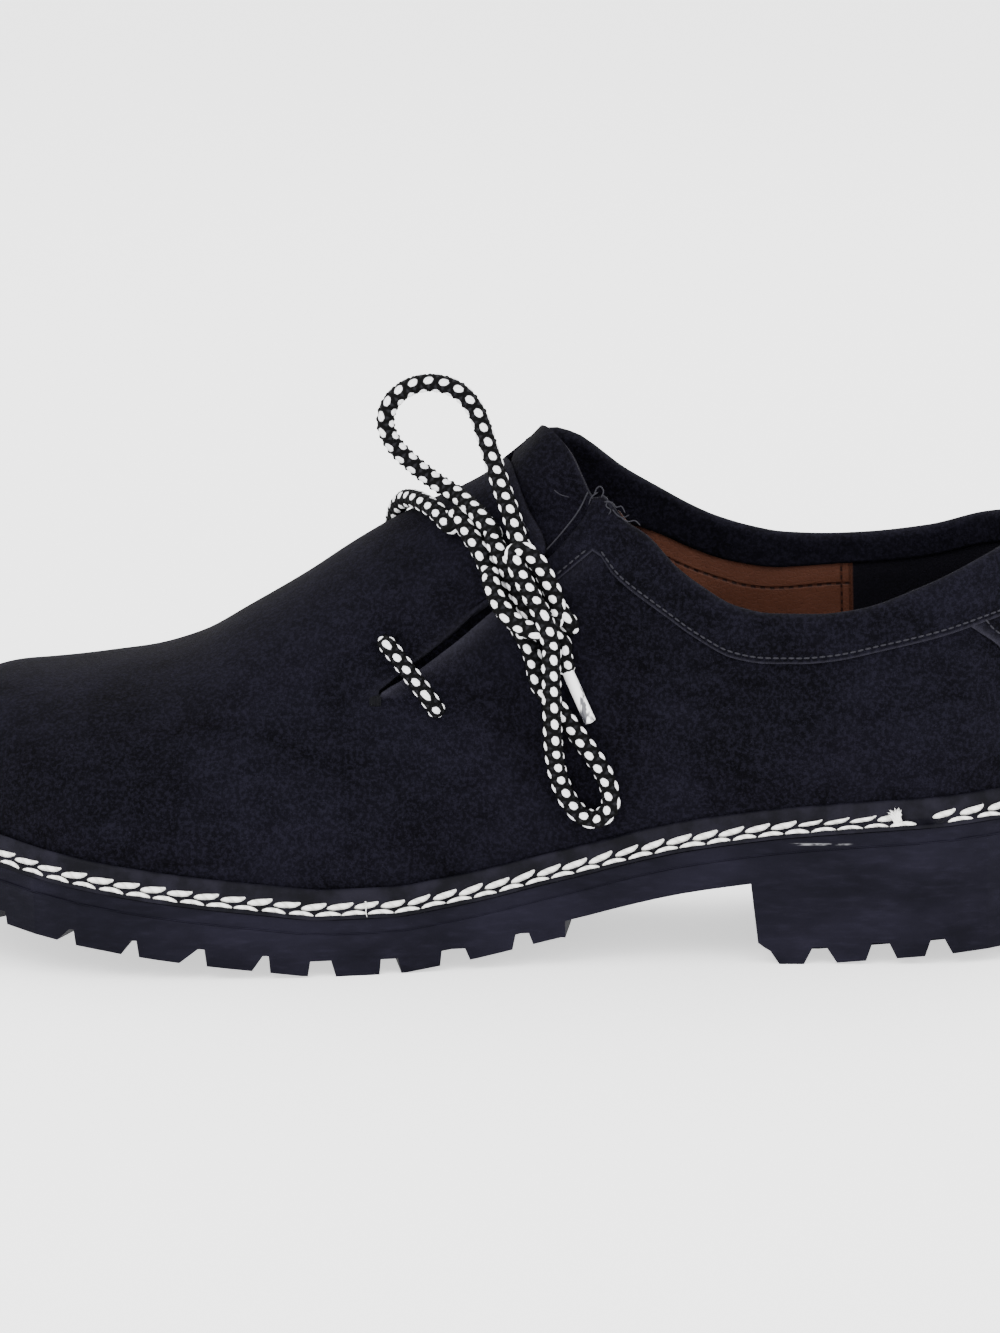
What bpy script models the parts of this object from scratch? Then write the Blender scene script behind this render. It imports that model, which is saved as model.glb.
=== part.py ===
"""A left side-laced country shoe with a lugged rubber sole: the real pieces at their real size, in metres.

The toe points along -X, the outer (lateral) side faces -Y and +Z is up. The origin is on the floor, under
the middle of the sole's box. Every piece is worked out from the named sizes and the short tables below.
"""

import math
from collections import namedtuple

import bmesh
import bpy
from mathutils import Matrix, Vector
from mathutils.bvhtree import BVHTree

LATERAL, MEDIAL = -1, 1

# Sole, in plan
SOLE_LENGTH = 0.302
BALL_WIDTH = 0.107
WELT_REACH = 0.0055
HEEL_ROUND = 0.034
TOE_ROUND = 0.062
TOE_TIP_SHIFT = 0.007

# Sole, from the side
LUG_DEPTH = 0.0039
OUTSOLE_BASE = 0.0066
MIDSOLE_THICKNESS = 0.0034
TOE_SPRING = 0.0175
HEEL_PITCH = 0.0175
HEEL_BEVEL = 0.0052
HEEL_LUG_DEPTH = 0.0042
HEEL_SETBACK = 0.0030
NOTCH_WIDTH = 0.0052
MIDSOLE_INSET = 0.0004
HEEL_FLAT = 0.016
RIM_LUG_WIDTH = 0.0175
CHANNEL_WIDTH = 0.0042
CROSS_WIDTH = 0.0040

# Welt. The profile's points are the reach outwards from the feather line and the height over the midsole.
RAND_HEIGHT = 0.0066
WELT_CLEARANCE = 0.0005
WELT_PROFILE = (
    (WELT_REACH, 0.0),
    (WELT_REACH - 0.0001, 0.0006),
    (0.0044, 0.0012),
    (0.0030, 0.0019),
    (0.0022, 0.0031),
    (0.0020, RAND_HEIGHT - 0.0006),
    (0.0017, RAND_HEIGHT),
)

# Upper
WALL = 0.0022
CONE_HEIGHT = 0.160
TOE_BOX_ROUND = 0.030
HEEL_SWELL = 0.0026
HEEL_LEAN = 0.0050
HEEL_BACK_HEIGHT = 0.070
COLLAR_HEIGHT = 0.106
BAND_WIDTH = 0.0130
BAND_THICKNESS = 0.0008
BAND_FADE = 0.380
BACKSTAY_THICKNESS = 0.0005
OVERLAY_ROOT = 0.0009
TONGUE_THICKNESS = 0.0018
TONGUE_CLEARANCE = 0.0010
INSOLE_THICKNESS = 0.0030
INSOLE_CLEARANCE = 0.0010

# Lace
LACE_WIDTH = 0.0048
LACE_HOLE = 0.0060
TIP_WIDTH = 0.0034
BAR_END_HEIGHT = 0.0014
BAR_CROWN = 0.0005

GAP = 0.0003

FEATHER_LENGTH = SOLE_LENGTH - 2 * WELT_REACH
HALF_FEATHER = BALL_WIDTH / 2 - WELT_REACH
SEAT_STACK = LUG_DEPTH + OUTSOLE_BASE + GAP + MIDSOLE_THICKNESS

# The feather line, where the upper meets the sole. u runs from heel 0 to toe 1 along its length,
# outer and inner are half-widths as shares of HALF_FEATHER.
FeatherRow = namedtuple("FeatherRow", "u outer inner")
FEATHER_ROWS = (
    FeatherRow(0.00, 0.64, 0.64),
    FeatherRow(0.12, 0.650, 0.650),
    FeatherRow(0.25, 0.655, 0.610),
    FeatherRow(0.40, 0.710, 0.545),
    FeatherRow(0.50, 0.815, 0.570),
    FeatherRow(0.60, 0.945, 0.710),
    FeatherRow(0.68, 1.030, 0.850),
    FeatherRow(0.75, 1.050, 0.955),
    FeatherRow(0.82, 1.030, 0.990),
    FeatherRow(0.90, 0.970, 0.970),
    FeatherRow(1.00, 0.880, 0.900),
)

# The height of the sole's own line above its lowest point, the ball: toe counts in TOE_SPRING,
# heel in HEEL_PITCH. u runs along SOLE_LENGTH from the heel.
LineRow = namedtuple("LineRow", "u toe heel")
LINE_ROWS = (
    LineRow(0.00, 0.0, 1.270),
    LineRow(0.07, 0.0, 1.230),
    LineRow(0.11, 0.0, 1.170),
    LineRow(0.185, 0.0, 1.075),
    LineRow(0.242, 0.0, 0.995),
    LineRow(0.285, 0.0, 0.905),
    LineRow(0.325, 0.0, 0.805),
    LineRow(0.368, 0.0, 0.650),
    LineRow(0.407, 0.0, 0.485),
    LineRow(0.447, 0.0, 0.335),
    LineRow(0.485, 0.0, 0.190),
    LineRow(0.523, 0.0, 0.080),
    LineRow(0.56, 0.0, 0.0),
    LineRow(0.61, 0.0, 0.0),
    LineRow(0.66, 0.100, 0.0),
    LineRow(0.73, 0.245, 0.0),
    LineRow(0.818, 0.475, 0.0),
    LineRow(0.881, 0.675, 0.0),
    LineRow(1.00, 1.080, 0.0),
)

# Cross-sections of the upper. top is the ridge's height as a share of CONE_HEIGHT, ridge is how far
# it lies to the inner side as a share of HALF_FEATHER, swell is how far the wall bows out as a share
# of its half-width, and rise and side are the powers of the arch: 2 and 2 is an ellipse.
SectionRow = namedtuple("SectionRow", "u top ridge swell rise side")
SECTION_ROWS = (
    SectionRow(0.00, 1.000, 0.00, 0.060, 2.6, 2.3),
    SectionRow(0.20, 0.990, 0.00, 0.080, 2.6, 2.3),
    SectionRow(0.33, 0.925, 0.02, 0.060, 2.5, 2.2),
    SectionRow(0.39, 0.842, 0.04, 0.040, 2.3, 2.1),
    SectionRow(0.434, 0.783, 0.06, 0.030, 2.2, 2.05),
    SectionRow(0.455, 0.756, 0.06, 0.025, 2.2, 2.05),
    SectionRow(0.480, 0.731, 0.07, 0.020, 2.1, 2.0),
    SectionRow(0.527, 0.696, 0.08, 0.015, 2.0, 1.95),
    SectionRow(0.572, 0.657, 0.08, 0.015, 1.95, 1.9),
    SectionRow(0.617, 0.609, 0.08, 0.020, 1.95, 1.9),
    SectionRow(0.658, 0.561, 0.09, 0.025, 2.0, 1.95),
    SectionRow(0.703, 0.513, 0.10, 0.030, 2.1, 2.0),
    SectionRow(0.747, 0.468, 0.11, 0.030, 2.2, 2.1),
    SectionRow(0.792, 0.443, 0.12, 0.030, 2.3, 2.2),
    SectionRow(0.837, 0.431, 0.12, 0.025, 2.4, 2.3),
    SectionRow(0.900, 0.420, 0.12, 0.015, 2.5, 2.3),
    SectionRow(1.00, 0.410, 0.12, 0.000, 2.5, 2.3),
)

# The collar's edge from the side, from the throat back to the heel: u along FEATHER_LENGTH,
# outer and inner are heights as shares of COLLAR_HEIGHT.
CollarRow = namedtuple("CollarRow", "u outer inner")
COLLAR_ROWS = (
    CollarRow(0.472, 1.127, 1.127),
    CollarRow(0.431, 1.127, 1.160),
    CollarRow(0.407, 1.118, 1.146),
    CollarRow(0.390, 1.100, 1.118),
    CollarRow(0.369, 1.040, 1.075),
    CollarRow(0.345, 1.000, 1.032),
    CollarRow(0.320, 0.928, 0.990),
    CollarRow(0.300, 0.886, 0.962),
    CollarRow(0.270, 0.838, 0.934),
    CollarRow(0.240, 0.821, 0.917),
    CollarRow(0.200, 0.820, 0.911),
    CollarRow(0.165, 0.832, 0.914),
    CollarRow(0.110, 0.884, 0.930),
    CollarRow(0.055, 0.945, 0.970),
    CollarRow(0.000, 1.000, 1.000),
)

# Side notches of the tread. u is the middle of the notch along SOLE_LENGTH, mouth is its width at
# the floor in NOTCH_WIDTH, and front and back are how far each flank leans, in mouths.
NotchRow = namedtuple("NotchRow", "u mouth front back")
FORE_NOTCHES = (
    NotchRow(0.457, 1.05, 0.16, 0.24),
    NotchRow(0.512, 1.50, 0.06, 0.20),
    NotchRow(0.565, 1.05, 0.08, 0.14),
    NotchRow(0.620, 1.33, 0.10, 0.14),
    NotchRow(0.667, 0.88, 0.62, 0.06),
    NotchRow(0.722, 1.40, 0.72, 0.06),
    NotchRow(0.772, 0.92, 0.62, 0.10),
    NotchRow(0.823, 1.19, 0.72, 0.08),
    NotchRow(0.878, 1.10, 0.60, 0.10),
    NotchRow(0.931, 1.20, 0.40, 0.20),
    NotchRow(0.970, 1.20, 0.30, 0.20),
)
HEEL_NOTCHES = (
    NotchRow(0.034, 1.10, 0.20, 0.26),
    NotchRow(0.065, 1.20, 0.20, 0.30),
    NotchRow(0.116, 1.33, 0.21, 0.32),
    NotchRow(0.161, 1.47, 0.19, 0.26),
    NotchRow(0.211, 1.60, 0.26, 0.32),
)
TREAD_END = 0.4195
BREAST = 0.2675
BREAST_LEAN = 0.0016
CROSS_GROOVES = (0.455, 0.510, 0.562, 0.640, 0.700, 0.765, 0.835)
HEEL_CROSS_GROOVES = (0.135, 0.185)

# The tongue: angle goes round the arch in degrees, top is its free edge and cover is the edge of what
# lies over it, both along FEATHER_LENGTH.
TongueRow = namedtuple("TongueRow", "angle top cover")
TONGUE_ROWS = (
    TongueRow(31, 0.425, 0.380),
    TongueRow(42, 0.400, 0.380),
    TongueRow(50, 0.393, 0.400),
    TongueRow(57, 0.401, 0.432),
    TongueRow(66, 0.410, 0.450),
    TongueRow(76, 0.424, 0.450),
    TongueRow(94, 0.424, 0.440),
    TongueRow(108, 0.412, 0.400),
    TongueRow(121, 0.404, 0.380),
)
TONGUE_FRONT = 0.620

# The two edges of the slit on the outer side and of the gap above it, from the side, top to bottom:
# u along FEATHER_LENGTH, height as a share of COLLAR_HEIGHT.
SlitRow = namedtuple("SlitRow", "u height")
FLAP_EDGE = (
    SlitRow(0.4720, 1.127),
    SlitRow(0.4515, 1.050),
    SlitRow(0.4345, 0.979),
    SlitRow(0.4820, 0.844),
    SlitRow(0.5110, 0.776),
    SlitRow(0.5400, 0.715),
    SlitRow(0.5760, 0.642),
)
QUARTER_EDGE = (
    SlitRow(0.3880, 1.104),
    SlitRow(0.3985, 1.045),
    SlitRow(0.4130, 0.994),
    SlitRow(0.4290, 0.947),
    SlitRow(0.4785, 0.832),
    SlitRow(0.5080, 0.762),
    SlitRow(0.5380, 0.699),
    SlitRow(0.5740, 0.626),
)

# The lace holes: u along FEATHER_LENGTH and the angle round the arch in degrees.
HoleRow = namedtuple("HoleRow", "u angle")
BAR_FLAP_HOLE = HoleRow(0.571, 46.5)
BAR_QUARTER_HOLE = HoleRow(0.5195, 28.0)
TOP_FLAP_HOLE = HoleRow(0.4660, 47.0)
TOP_QUARTER_HOLE = HoleRow(0.4210, 31.5)

# The backstay's front edge from the side: u along FEATHER_LENGTH, height as a share of COLLAR_HEIGHT.
BackstayRow = namedtuple("BackstayRow", "u height")
BACKSTAY_ROWS = (
    BackstayRow(0.078, 0.800),
    BackstayRow(0.050, 0.735),
    BackstayRow(0.034, 0.650),
    BackstayRow(0.026, 0.520),
    BackstayRow(0.022, 0.450),
)

# The lace's free stretches, as centre lines in metres. scene.py repeats these points.
LOOP_UPPER = (
    (0.0127, -0.0221, 0.1062),
    (0.0110, -0.0190, 0.1100),
    (0.0090, -0.0158, 0.1146),
    (0.0066, -0.0128, 0.1208),
    (0.0042, -0.0108, 0.1280),
    (0.0018, -0.0094, 0.1345),
    (-0.0025, -0.0084, 0.1394),
    (-0.0085, -0.0077, 0.1414),
    (-0.0148, -0.0073, 0.1404),
    (-0.0196, -0.0070, 0.1366),
    (-0.0213, -0.0066, 0.1312),
    (-0.0193, -0.0062, 0.1256),
    (-0.0145, -0.0060, 0.1205),
    (-0.0092, -0.0062, 0.1163),
    (-0.0042, -0.0078, 0.1135),
    (0.0000, -0.0118, 0.1111),
    (0.0038, -0.0166, 0.1083),
    (0.0064, -0.0197, 0.1058),
)
LOOP_LOWER = (
    (0.0220, -0.0362, 0.0803),
    (0.0220, -0.0374, 0.0766),
    (0.0221, -0.0386, 0.0720),
    (0.0222, -0.0400, 0.0660),
    (0.0223, -0.0402, 0.0600),
    (0.0224, -0.0386, 0.0540),
    (0.0232, -0.0370, 0.0480),
    (0.0252, -0.0367, 0.0425),
    (0.0285, -0.0365, 0.0382),
    (0.0325, -0.0362, 0.0370),
    (0.0356, -0.0361, 0.0398),
    (0.0357, -0.0360, 0.0442),
    (0.0340, -0.0360, 0.0490),
    (0.0312, -0.0358, 0.0535),
    (0.0281, -0.0354, 0.0578),
    (0.0250, -0.0350, 0.0620),
    (0.0217, -0.0342, 0.0664),
    (0.0185, -0.0335, 0.0705),
    (0.0160, -0.0328, 0.0748),
    (0.0146, -0.0319, 0.0788),
)
END_UPPER = (
    (0.0041, -0.0220, 0.1001),
    (0.0000, -0.0187, 0.1033),
    (-0.0046, -0.0143, 0.1066),
    (-0.0092, -0.0087, 0.1095),
    (-0.0139, -0.0021, 0.1107),
    (-0.0174, 0.0040, 0.1101),
    (-0.0201, 0.0091, 0.1078),
    (-0.0219, 0.0137, 0.1039),
    (-0.0229, 0.0180, 0.0988),
    (-0.0231, 0.0215, 0.0930),
    (-0.0230, 0.0245, 0.0868),
)
END_LOWER = (
    (0.0240, -0.0312, 0.0803),
    (0.0243, -0.0318, 0.0775),
    (0.0249, -0.0322, 0.0752),
    (0.0258, -0.0327, 0.0728),
)
TIP_UPPER = ((-0.0230, 0.0247, 0.0864), (-0.0226, 0.0289, 0.0734))
TIP_LOWER = ((0.0260, -0.0328, 0.0724), (0.0313, -0.0349, 0.0609))
KNOT = (
    (0.0092, -0.0261, 0.1005),
    (0.0156, -0.0302, 0.0938),
    (0.0214, -0.0339, 0.0852),
)
KNOT_HALF_WIDTH = 0.0080
KNOT_HALF_DEPTH = 0.0056
KNOT_OVERHANG = 0.0050

HEEL_STEPS = 7
MIDDLE_STEPS = 23
TOE_STEPS = 9
ARCH_STEPS = 12
WALL_STEPS = 9
BAND_STEPS = 3
THROAT = COLLAR_ROWS[0].u
THROAT_BACK = 0.35


def interpolated(rows, column, at):
    """A smooth value of one column of a table between its rows, level past its ends."""
    keys = [row[0] for row in rows]
    values = [getattr(row, column) for row in rows]
    if keys[0] > keys[-1]:
        keys, values = keys[::-1], values[::-1]
    if at <= keys[0]:
        return values[0]
    if at >= keys[-1]:
        return values[-1]
    i = max(k for k in range(len(keys) - 1) if keys[k] <= at)
    spans = [b - a for a, b in zip(keys, keys[1:])]
    rises = [(b - a) / s for a, b, s in zip(values, values[1:], spans)]

    def slope(k):
        if k == 0 or k == len(keys) - 1:
            return rises[min(k, len(rises) - 1)]
        before, after = rises[k - 1], rises[k]
        if before * after <= 0:
            return 0.0
        wide, near = spans[k] + 2 * spans[k - 1], 2 * spans[k] + spans[k - 1]
        return (wide + near) / (near / before + wide / after)

    t = (at - keys[i]) / spans[i]
    return (
        values[i] * (1 + 2 * t) * (1 - t) ** 2
        + slope(i) * spans[i] * t * (1 - t) ** 2
        + values[i + 1] * t * t * (3 - 2 * t)
        + slope(i + 1) * spans[i] * t * t * (t - 1)
    )


def rounded_end(distance, radius, power=2.1):
    """How full an outline is at a distance from its end: 0 at the end, 1 from radius on."""
    if distance >= radius:
        return 1.0
    return max(0.0, 1 - (1 - max(0.0, distance) / radius) ** power) ** (1 / power)


def stations():
    """Shares of the feather length from heel to toe. The two round ends are stepped by angle."""
    heel = HEEL_ROUND / FEATHER_LENGTH
    toe = TOE_ROUND / FEATHER_LENGTH
    found = [heel * (1 - math.cos(math.pi / 2 * i / HEEL_STEPS)) for i in range(HEEL_STEPS)]
    found += [heel + (1 - toe - heel) * i / MIDDLE_STEPS for i in range(MIDDLE_STEPS + 1)]
    found += [1 - toe * (1 - math.cos(math.pi / 2 * i / TOE_STEPS)) for i in range(TOE_STEPS - 1, -1, -1)]
    nearest = min(range(len(found)), key=lambda i: abs(found[i] - THROAT))
    found[nearest] = THROAT
    extra = [(a + b) / 2 for a, b in zip(found, found[1:]) if THROAT_BACK < a and b <= THROAT]
    return sorted(found + extra)


STATIONS = stations()


def x_at(u):
    """Place along the shoe of a share of the feather length."""
    return FEATHER_LENGTH / 2 - u * FEATHER_LENGTH


def sole_x(u):
    """Place along the shoe of a share of the sole's length."""
    return SOLE_LENGTH / 2 - u * SOLE_LENGTH


def outline_y(u, side):
    """Sideways place of the feather line before it is centred."""
    from_heel, from_toe = u * FEATHER_LENGTH, (1 - u) * FEATHER_LENGTH
    column = "outer" if side == LATERAL else "inner"
    y = side * interpolated(FEATHER_ROWS, column, u) * HALF_FEATHER
    y *= rounded_end(from_heel, HEEL_ROUND)
    if from_toe < TOE_ROUND:
        y = TOE_TIP_SHIFT + (y - TOE_TIP_SHIFT) * rounded_end(from_toe, TOE_ROUND)
    return y


def feather_point(u, side):
    """Where the upper meets the sole, in plan, at a share of the feather length."""
    return Vector((x_at(u), outline_y(u, side) + SIDE_SHIFT))


def side_shift():
    """Centres the outline about the X axis."""
    outer = min(outline_y(u, LATERAL) for u in STATIONS)
    inner = max(outline_y(u, MEDIAL) for u in STATIONS)
    return -(outer + inner) / 2


SIDE_SHIFT = side_shift()


def ring_normals(ring):
    """Outward directions in plan of a closed ring that runs heel, outer side, toe, inner side."""
    count = len(ring)
    found = []
    for i in range(count):
        along = ring[(i + 1) % count] - ring[i - 1]
        found.append(Vector((-along.y, along.x)).normalized())
    return found


def feather_ring():
    """The closed feather line: heel, outer side, toe, inner side."""
    outer = [feather_point(u, LATERAL) for u in STATIONS]
    inner = [feather_point(u, MEDIAL) for u in STATIONS[1:-1]]
    return outer + inner[::-1]


def grown(ring, reach):
    """The ring moved outwards, or inwards if reach is negative."""
    return [p + n * reach for p, n in zip(ring, ring_normals(ring))]


def line_height(x):
    """Height of the sole's own line above the ball, at a place along the shoe."""
    u = 0.5 - x / SOLE_LENGTH
    toe = interpolated(LINE_ROWS, "toe", u) * TOE_SPRING
    return toe + interpolated(LINE_ROWS, "heel", u) * HEEL_PITCH


def seat_height(x):
    """Top of the midsole."""
    return SEAT_STACK + line_height(x)


def outsole_top(x):
    return seat_height(x) - MIDSOLE_THICKNESS - GAP


def arch_height(u):
    """Foot and height of the ridge over it, at a share of the feather length."""
    base = seat_height(x_at(u)) + GAP
    top = interpolated(SECTION_ROWS, "top", u) * CONE_HEIGHT
    return base, (top - base) * rounded_end((1 - u) * FEATHER_LENGTH, TOE_BOX_ROUND, 2.4)


def arch_point(u, angle):
    """A point of the upper's outside. angle runs from 0 at the outer feather line over the ridge to pi."""
    side = LATERAL if angle <= math.pi / 2 else MEDIAL
    turn = angle if side == LATERAL else math.pi - angle
    foot = feather_point(u, side)
    from_toe = (1 - u) * FEATHER_LENGTH
    base, height = arch_height(u)
    rise_power = interpolated(SECTION_ROWS, "rise", u)
    side_power = interpolated(SECTION_ROWS, "side", u)
    up = height * max(0.0, math.sin(turn)) ** (2 / rise_power)
    out = max(0.0, math.cos(turn)) ** (2 / side_power)
    fullness = min(1.0, rounded_end(from_toe, TOE_ROUND), rounded_end(u * FEATHER_LENGTH, HEEL_ROUND))
    ridge = interpolated(SECTION_ROWS, "ridge", u) * HALF_FEATHER
    ridge = SIDE_SHIFT + TOE_TIP_SHIFT + (ridge - TOE_TIP_SHIFT) * fullness if u > 0.5 else SIDE_SHIFT + ridge
    swell = interpolated(SECTION_ROWS, "swell", u)
    bow = 1 + swell * math.sin(math.pi * min(1.0, up / max(1e-6, 0.75 * min(height, HEEL_BACK_HEIGHT))))
    y = ridge + (foot.y - ridge) * out * bow
    near_heel = max(0.0, 1 - u / 0.25) ** 2
    share = up / HEEL_BACK_HEIGHT
    push = HEEL_SWELL * math.sin(math.pi * min(1.0, share)) - HEEL_LEAN * share * share
    return Vector((foot.x + push * near_heel, y, base + up))


def arch_angles():
    """Angles from one feather line to the other, closer together near the feather lines."""
    quarter = [math.pi / 2 * (i / ARCH_STEPS) ** 1.15 for i in range(ARCH_STEPS + 1)]
    return quarter + [math.pi - a for a in quarter[-2::-1]]


def material(name, colour, roughness, metallic=0.0):
    made = bpy.data.materials.new(name)
    made.use_nodes = True
    shader = made.node_tree.nodes["Principled BSDF"]
    shader.inputs["Base Color"].default_value = (*colour, 1.0)
    shader.inputs["Roughness"].default_value = roughness
    shader.inputs["Metallic"].default_value = metallic
    return made


def object_of(bm, name, finish):
    """Makes a named object of a bmesh, with its doubles merged."""
    bmesh.ops.remove_doubles(bm, verts=bm.verts, dist=1e-6)
    mesh = bpy.data.meshes.new(name)
    bm.to_mesh(mesh)
    bm.free()
    made = bpy.data.objects.new(name, mesh)
    bpy.context.scene.collection.objects.link(made)
    if finish is not None:
        mesh.materials.append(finish)
        mesh.shade_smooth()
        mesh.set_sharp_from_angle(angle=math.radians(40))
    return made


def cutter_of(bm, name):
    """A helper that shapes other pieces and isn't a piece itself."""
    bmesh.ops.recalc_face_normals(bm, faces=bm.faces)
    made = object_of(bm, name, None)
    made.hide_render = True
    made.display_type = "WIRE"
    return made


def cut(target, cutter, operation="DIFFERENCE"):
    modifier = target.modifiers.new(cutter.name, "BOOLEAN")
    modifier.operation = operation
    modifier.object = cutter
    modifier.solver = "EXACT"


def prism(name, outline, low, high):
    """A cutter: a closed outline of (x, z) points, run across the shoe from y = low to y = high."""
    bm = bmesh.new()
    face = bm.faces.new([bm.verts.new((x, low, z)) for x, z in outline])
    moved = bmesh.ops.extrude_face_region(bm, geom=[face])["geom"]
    corners = [v for v in moved if isinstance(v, bmesh.types.BMVert)]
    bmesh.ops.translate(bm, verts=corners, vec=(0, high - low, 0))
    return cutter_of(bm, name)


def plate(name, ring, top, bottom, finish):
    """A flat-sided layer of the sole inside a ring of points, between two heights along the shoe."""
    bm = bmesh.new()
    upper = [bm.verts.new((p.x, p.y, top(p.x))) for p in ring]
    lower = [bm.verts.new((p.x, p.y, bottom(p.x))) for p in ring]
    count = len(ring)
    last = len(STATIONS) - 1
    for i in range(count):
        j = (i + 1) % count
        bm.faces.new((upper[i], lower[i], lower[j], upper[j]))
    for i in range(last):
        a, b = i, i + 1
        c, d = (count - b) % count, (count - a) % count
        for verts, turned in ((upper, False), (lower, True)):
            corners = [verts[k] for k in dict.fromkeys((a, b, c, d))]
            bm.faces.new(corners[::-1] if turned else corners)
    bmesh.ops.recalc_face_normals(bm, faces=bm.faces)
    return object_of(bm, name, finish)


def shell(name, outer_offset, inner_offset, finish):
    """A wall that follows the upper's outside, between two distances outwards from it."""
    angles = arch_angles()
    bm = bmesh.new()
    grid = [[bm.verts.new(arch_point(u, a)) for a in angles] for u in STATIONS]
    for row, following in zip(grid, grid[1:]):
        for k in range(len(angles) - 1):
            bm.faces.new((row[k], following[k], following[k + 1], row[k + 1]))
    bmesh.ops.remove_doubles(bm, verts=bm.verts, dist=2e-6)
    bmesh.ops.recalc_face_normals(bm, faces=bm.faces)
    bm.normal_update()
    if sum(f.normal.dot(f.calc_center_median() - Vector((0, 0, 0.05))) for f in bm.faces) < 0:
        bmesh.ops.reverse_faces(bm, faces=bm.faces)
        bm.normal_update()
    outer_faces = list(bm.faces)
    rim = [e for e in bm.edges if e.is_boundary]
    normals = {v: v.normal.copy() for v in bm.verts}
    twins = {v: bm.verts.new(v.co + normals[v] * inner_offset) for v in list(normals)}
    for face in outer_faces:
        bm.faces.new([twins[v] for v in reversed(face.verts)])
    for edge in rim:
        face = edge.link_faces[0]
        loop = next(l for l in edge.link_loops if l.face == face)
        a, b = loop.vert, loop.link_loop_next.vert
        bm.faces.new((b, a, twins[a], twins[b]))
    for vert, normal in normals.items():
        vert.co += normal * outer_offset
    return object_of(bm, name, finish)


def outline_frame(u_sole, side):
    """The sole's edge at a place along it: the point, the outward and the toeward direction, in plan."""
    u = (FEATHER_LENGTH / 2 - sole_x(u_sole)) / FEATHER_LENGTH
    ahead, behind = feather_point(min(1.0, u + 0.004), side), feather_point(max(0.0, u - 0.004), side)
    toeward = (ahead - behind).normalized()
    outward = Vector((toeward.y, -toeward.x)) * -side
    return feather_point(u, side) + outward * WELT_REACH, outward, toeward


def heel_bottom(x):
    """The underside of the heel: flat in front, then a bevel that rises to the back."""
    flat_end = sole_x(BREAST) + HEEL_FLAT
    return HEEL_BEVEL * max(0.0, x - flat_end) / (SOLE_LENGTH / 2 - flat_end)


def sole_bottom(x):
    """The lug faces at the forefoot and at the heel, with a straight run between that the waist cuts off."""
    fore, back = sole_x(TREAD_END), sole_x(BREAST)
    if x <= fore:
        return line_height(x)
    if x >= back:
        return heel_bottom(x)
    share = (x - fore) / (back - fore)
    return line_height(fore) * (1 - share)


def tread_root(x):
    """The bottom of the notches and channels."""
    if x < (sole_x(TREAD_END) + sole_x(BREAST)) / 2:
        return line_height(x) + LUG_DEPTH
    return heel_bottom(x) + HEEL_LUG_DEPTH


def solid_of_corners(bm, corners):
    """A six-sided solid of two loops of four corners each."""
    first, second = ([bm.verts.new(c) for c in loop] for loop in corners)
    bm.faces.new(first)
    bm.faces.new(second[::-1])
    for i in range(4):
        j = (i + 1) % 4
        bm.faces.new((first[j], first[i], second[i], second[j]))


def notch_cutter():
    """All side notches of the tread, each square to the sole's edge."""
    bm = bmesh.new()
    for row in FORE_NOTCHES + HEEL_NOTCHES:
        for side in (LATERAL, MEDIAL):
            edge, outward, toeward = outline_frame(row.u, side)
            mouth = row.mouth * NOTCH_WIDTH
            root_z = tread_root(edge.x)
            mouth_z = sole_bottom(edge.x)
            drop = 0.0015
            spread = (root_z - mouth_z + drop) / (root_z - mouth_z)
            front, back = row.front * mouth, row.back * mouth
            root = (mouth / 2 - front, -mouth / 2 + back)
            low = (root[0] + front * spread, root[1] - back * spread)
            loops = []
            for (ahead, behind), z in ((root, root_z), (low, mouth_z - drop)):
                loop = []
                for along, out in ((ahead, 0.004), (ahead, -RIM_LUG_WIDTH), (behind, -RIM_LUG_WIDTH),
                                   (behind, 0.004)):
                    spot = edge + toeward * along + outward * out
                    loop.append((spot.x, spot.y, z))
                loops.append(loop)
            solid_of_corners(bm, loops)
    return cutter_of(bm, "notch_cutter")


def strip(bm, left, right, top, low):
    """A closed bar of rectangular section between two rows of plan points."""
    rows = []
    for a, b in zip(left, right):
        corners = ((a, top), (b, top), (b, low), (a, low))
        rows.append([bm.verts.new((p.x, p.y, height(p.x))) for p, height in corners])
    bm.faces.new(rows[0])
    bm.faces.new(rows[-1][::-1])
    for row, following in zip(rows, rows[1:]):
        for k in range(4):
            n = (k + 1) % 4
            bm.faces.new((row[n], row[k], following[k], following[n]))


def under_ground(x):
    return -0.01


def channel_cutter():
    """The channels inside the rim lugs, one round the forefoot and one round the heel."""
    bm = bmesh.new()
    ring = feather_ring()
    outer = grown(ring, WELT_REACH - RIM_LUG_WIDTH + 0.001)
    inner = grown(ring, WELT_REACH - RIM_LUG_WIDTH - CHANNEL_WIDTH)
    count = len(ring)
    fore = [i for i in range(count) if outer[i].x < sole_x(TREAD_END) + 0.006]
    back = [i for i in range(count) if outer[i].x > sole_x(BREAST) - 0.004]
    back = [i for i in back if i > count / 2] + [i for i in back if i <= count / 2]
    for chosen in (fore, back):
        strip(bm, [outer[i] for i in chosen], [inner[i] for i in chosen], tread_root, under_ground)
    return cutter_of(bm, "channel_cutter")


def cross_cutter():
    """The grooves across the middle of the tread."""
    bm = bmesh.new()
    for u in CROSS_GROOVES + HEEL_CROSS_GROOVES:
        x = sole_x(u)
        edges = [outline_frame(u, side)[0].y for side in (LATERAL, MEDIAL)]
        reach = RIM_LUG_WIDTH + 0.002
        loops = []
        for y in (edges[0] + reach, edges[1] - reach):
            half = CROSS_WIDTH / 2
            loops.append([
                (x - half, y, -0.01),
                (x + half, y, -0.01),
                (x + half, y, tread_root(x)),
                (x - half, y, tread_root(x)),
            ])
        solid_of_corners(bm, loops)
    return cutter_of(bm, "cross_cutter")


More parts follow.
